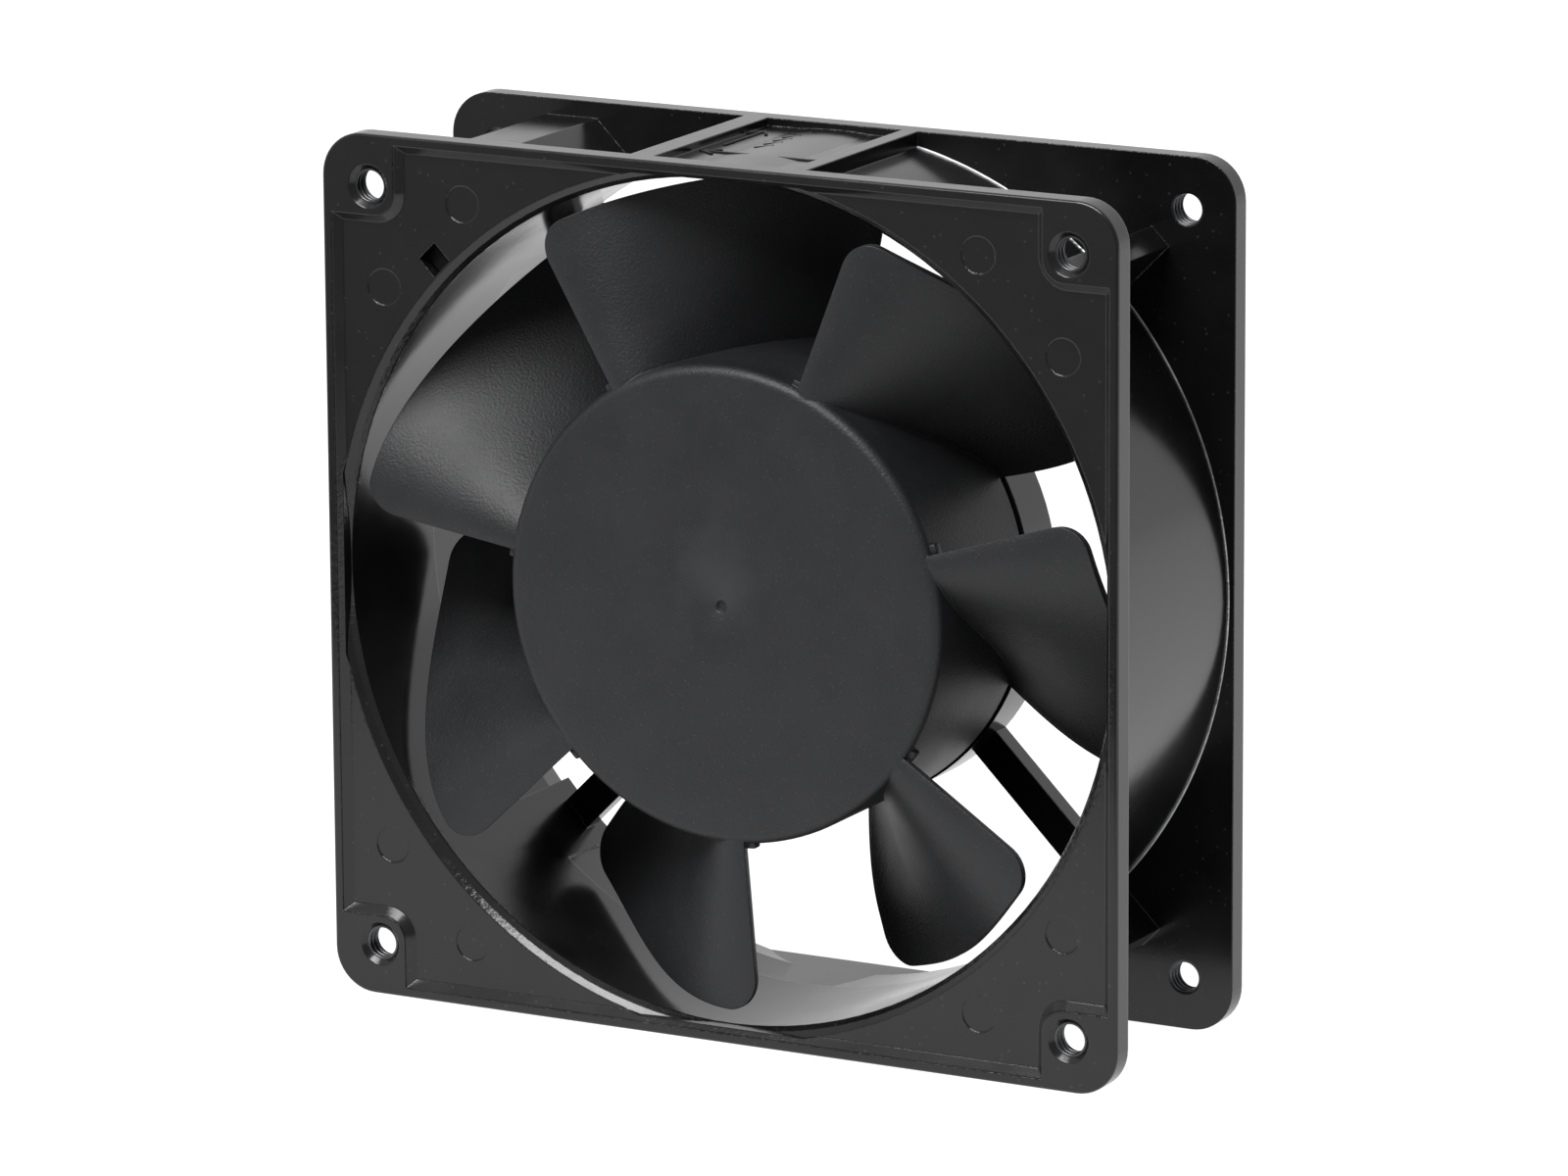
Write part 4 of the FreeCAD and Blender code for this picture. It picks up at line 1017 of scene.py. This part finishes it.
@dataclass
class Studio:
    """Camera, lights, world and floor."""

    azimuth: float = math.radians(28.517)
    elevation: float = math.radians(13.244)
    roll: float = math.radians(-0.359)
    distance: float = 1246.707 * MM
    across: float = 0.167 * MM
    lift: float = -1.054 * MM
    lens: float = 213.67
    sensor: float = 36.0
    clip: tuple[float, float] = (0.05, 30.0)
    floor_drop: float = 0.02 * MM
    room_bright_way: tuple[float, float, float] = (-0.5, 0.87, 0.0)
    room_front: float = 0.25
    room_behind: float = 0.92
    room_band: tuple[float, float] = (-1.0, 0.5)
    key_place: tuple[float, float, float] = (-0.12, -0.75, 0.93)
    key_size: tuple[float, float] = (0.75, 0.55)
    key_power: float = 19.0
    table_ends: tuple[float, float] = (-0.187, 4.0)
    table_width: float = 6.0
    table_glow: float = 1.0
    slab_roughness: float = 0.8
    flag_size: tuple[float, float] = (0.6, 0.085)
    flag_middle: tuple[float, float] = (-0.14, -0.238)
    flag_turn: float = math.radians(10)

    def build(self) -> None:
        """Set up the whole stage."""
        self.camera()
        self.world()
        self.lights()
        self.floor()
        bpy.context.scene.view_settings.view_transform = "Standard"

    def camera(self) -> None:
        """Place the camera at the viewing angle, looking at the fan from its right and above."""
        a, e, r = self.azimuth, self.elevation, self.roll
        back = Vector((math.sin(a) * math.cos(e), -math.cos(a) * math.cos(e), math.sin(e)))
        right = Vector((math.cos(a), math.sin(a), 0))
        up = back.cross(right)
        side = right * math.cos(r) + up * math.sin(r)
        top = up * math.cos(r) - right * math.sin(r)
        data = bpy.data.cameras.new("camera")
        data.lens = self.lens
        data.sensor_width = self.sensor
        data.clip_start, data.clip_end = self.clip
        camera = bpy.data.objects.new("camera", data)
        turn = Matrix((side, top, back)).transposed()
        where = back * self.distance + side * self.across + top * self.lift
        camera.matrix_world = Matrix.Translation(where) @ turn.to_4x4()
        bpy.context.scene.collection.objects.link(camera)
        bpy.context.scene.camera = camera

    def world(self) -> None:
        """Surround the fan with a pale room, brighter behind it, that the camera sees as white."""
        world = bpy.data.worlds.new("pale_room")
        bpy.context.scene.world = world
        world.use_nodes = True
        tree = world.node_tree
        tree.nodes.clear()
        way = add_node(tree, "ShaderNodeTexCoord").outputs["Generated"]
        along = add_node(tree, "ShaderNodeVectorMath", {"operation": "DOT_PRODUCT"},
                         i0=way, i1=Vector(self.room_bright_way))
        room = spread(tree, along.outputs["Value"], self.room_front, self.room_behind,
                      *self.room_band)
        seen = add_node(tree, "ShaderNodeLightPath").outputs["Is Camera Ray"]
        strength = add_node(tree, "ShaderNodeMath", {"operation": "MAXIMUM"}, i0=room, i1=seen)
        glow = add_node(tree, "ShaderNodeBackground", Color=linear("#ffffff"),
                        Strength=strength.outputs["Value"])
        add_node(tree, "ShaderNodeOutputWorld", Surface=glow.outputs["Background"])

    def soft_box(
        self, name: str, place: Sequence[float], size: tuple[float, float], power: float
    ) -> None:
        """Add a rectangular soft light that faces the fan.

        Args:
            name: The light's name.
            place: Where it hangs, in metres.
            size: Width and height in metres.
            power: Power in watts.
        """
        data = bpy.data.lights.new(name, "AREA")
        data.shape = "RECTANGLE"
        data.size, data.size_y = size
        data.energy = power
        light = bpy.data.objects.new(name, data)
        light.location = place
        light.rotation_euler = Vector(place).to_track_quat("Z", "Y").to_euler()
        bpy.context.scene.collection.objects.link(light)

    def lights(self) -> None:
        """Hang the key light above the camera."""
        self.soft_box("key", self.key_place, self.key_size, self.key_power)

    def slab(
        self, name: str, size: tuple[float, float], middle: tuple[float, float, float], glow: float,
        code: str,
    ) -> bpy.types.Object:
        """Lay a flat rectangle that isn't part of the fan.

        Args:
            name: Its name and its material's.
            size: Extent along X and Y in metres.
            middle: Its centre.
            glow: Light it gives off, which evens out the shadows on it.
            code: Its sRGB colour.

        Returns:
            The rectangle.
        """
        bpy.ops.object.select_all(action="DESELECT")
        bpy.ops.mesh.primitive_plane_add(size=1, location=middle)
        piece = bpy.context.object
        piece.scale = (*size, 1)
        piece.name = name
        material = bpy.data.materials.new(name)
        material.use_nodes = True
        shader = material.node_tree.nodes["Principled BSDF"]
        shader.inputs["Base Color"].default_value = linear(code)
        shader.inputs["Roughness"].default_value = self.slab_roughness
        shader.inputs["Specular IOR Level"].default_value = 0.0
        shader.inputs["Emission Color"].default_value = linear("#ffffff")
        shader.inputs["Emission Strength"].default_value = glow
        piece.data.materials.append(material)
        return piece

    def floor(self) -> None:
        """Lay a pale table top under the fan, and a dark flag before it that glossy paint shows."""
        bottom = CAD_BOX[0].z - self.floor_drop
        near, far = self.table_ends
        self.slab("pale_table", (self.table_width, far - near), (0, (near + far) / 2, bottom),
                  self.table_glow, "#707070")
        flag = self.slab("dark_flag", self.flag_size, (*self.flag_middle, bottom), 0.0, "#050505")
        flag.rotation_euler.z = self.flag_turn
        flag.visible_camera = False


# ------------------------------------------------------------------ making

def dress_nodes(shop: Workshop) -> None:
    """Give every CAD node its finish, by its own name or by its material slot.

    Args:
        shop: Gives the finishes.
    """
    for entry in frame["record"]["subparts"]:
        name = entry["node"]
        finish = NODE_FINISHES.get(name) or SLOT_FINISHES[entry["material_slot"]]
        shop.dress_node(name, finish)
        LOG.info("%s: %s", name, finish.name)


def main() -> None:
    """Build every piece in order."""
    logging.basicConfig(level=logging.INFO, format="%(name)s: %(message)s")
    shop = Workshop()
    Studio().build()
    dress_nodes(shop)
    Impeller().build(shop)
    HoleThreads().build(shop)
    FilletHighlightBead().build(shop)
    PanelMarks().build(shop)


if __name__ == "__main__":
    main()
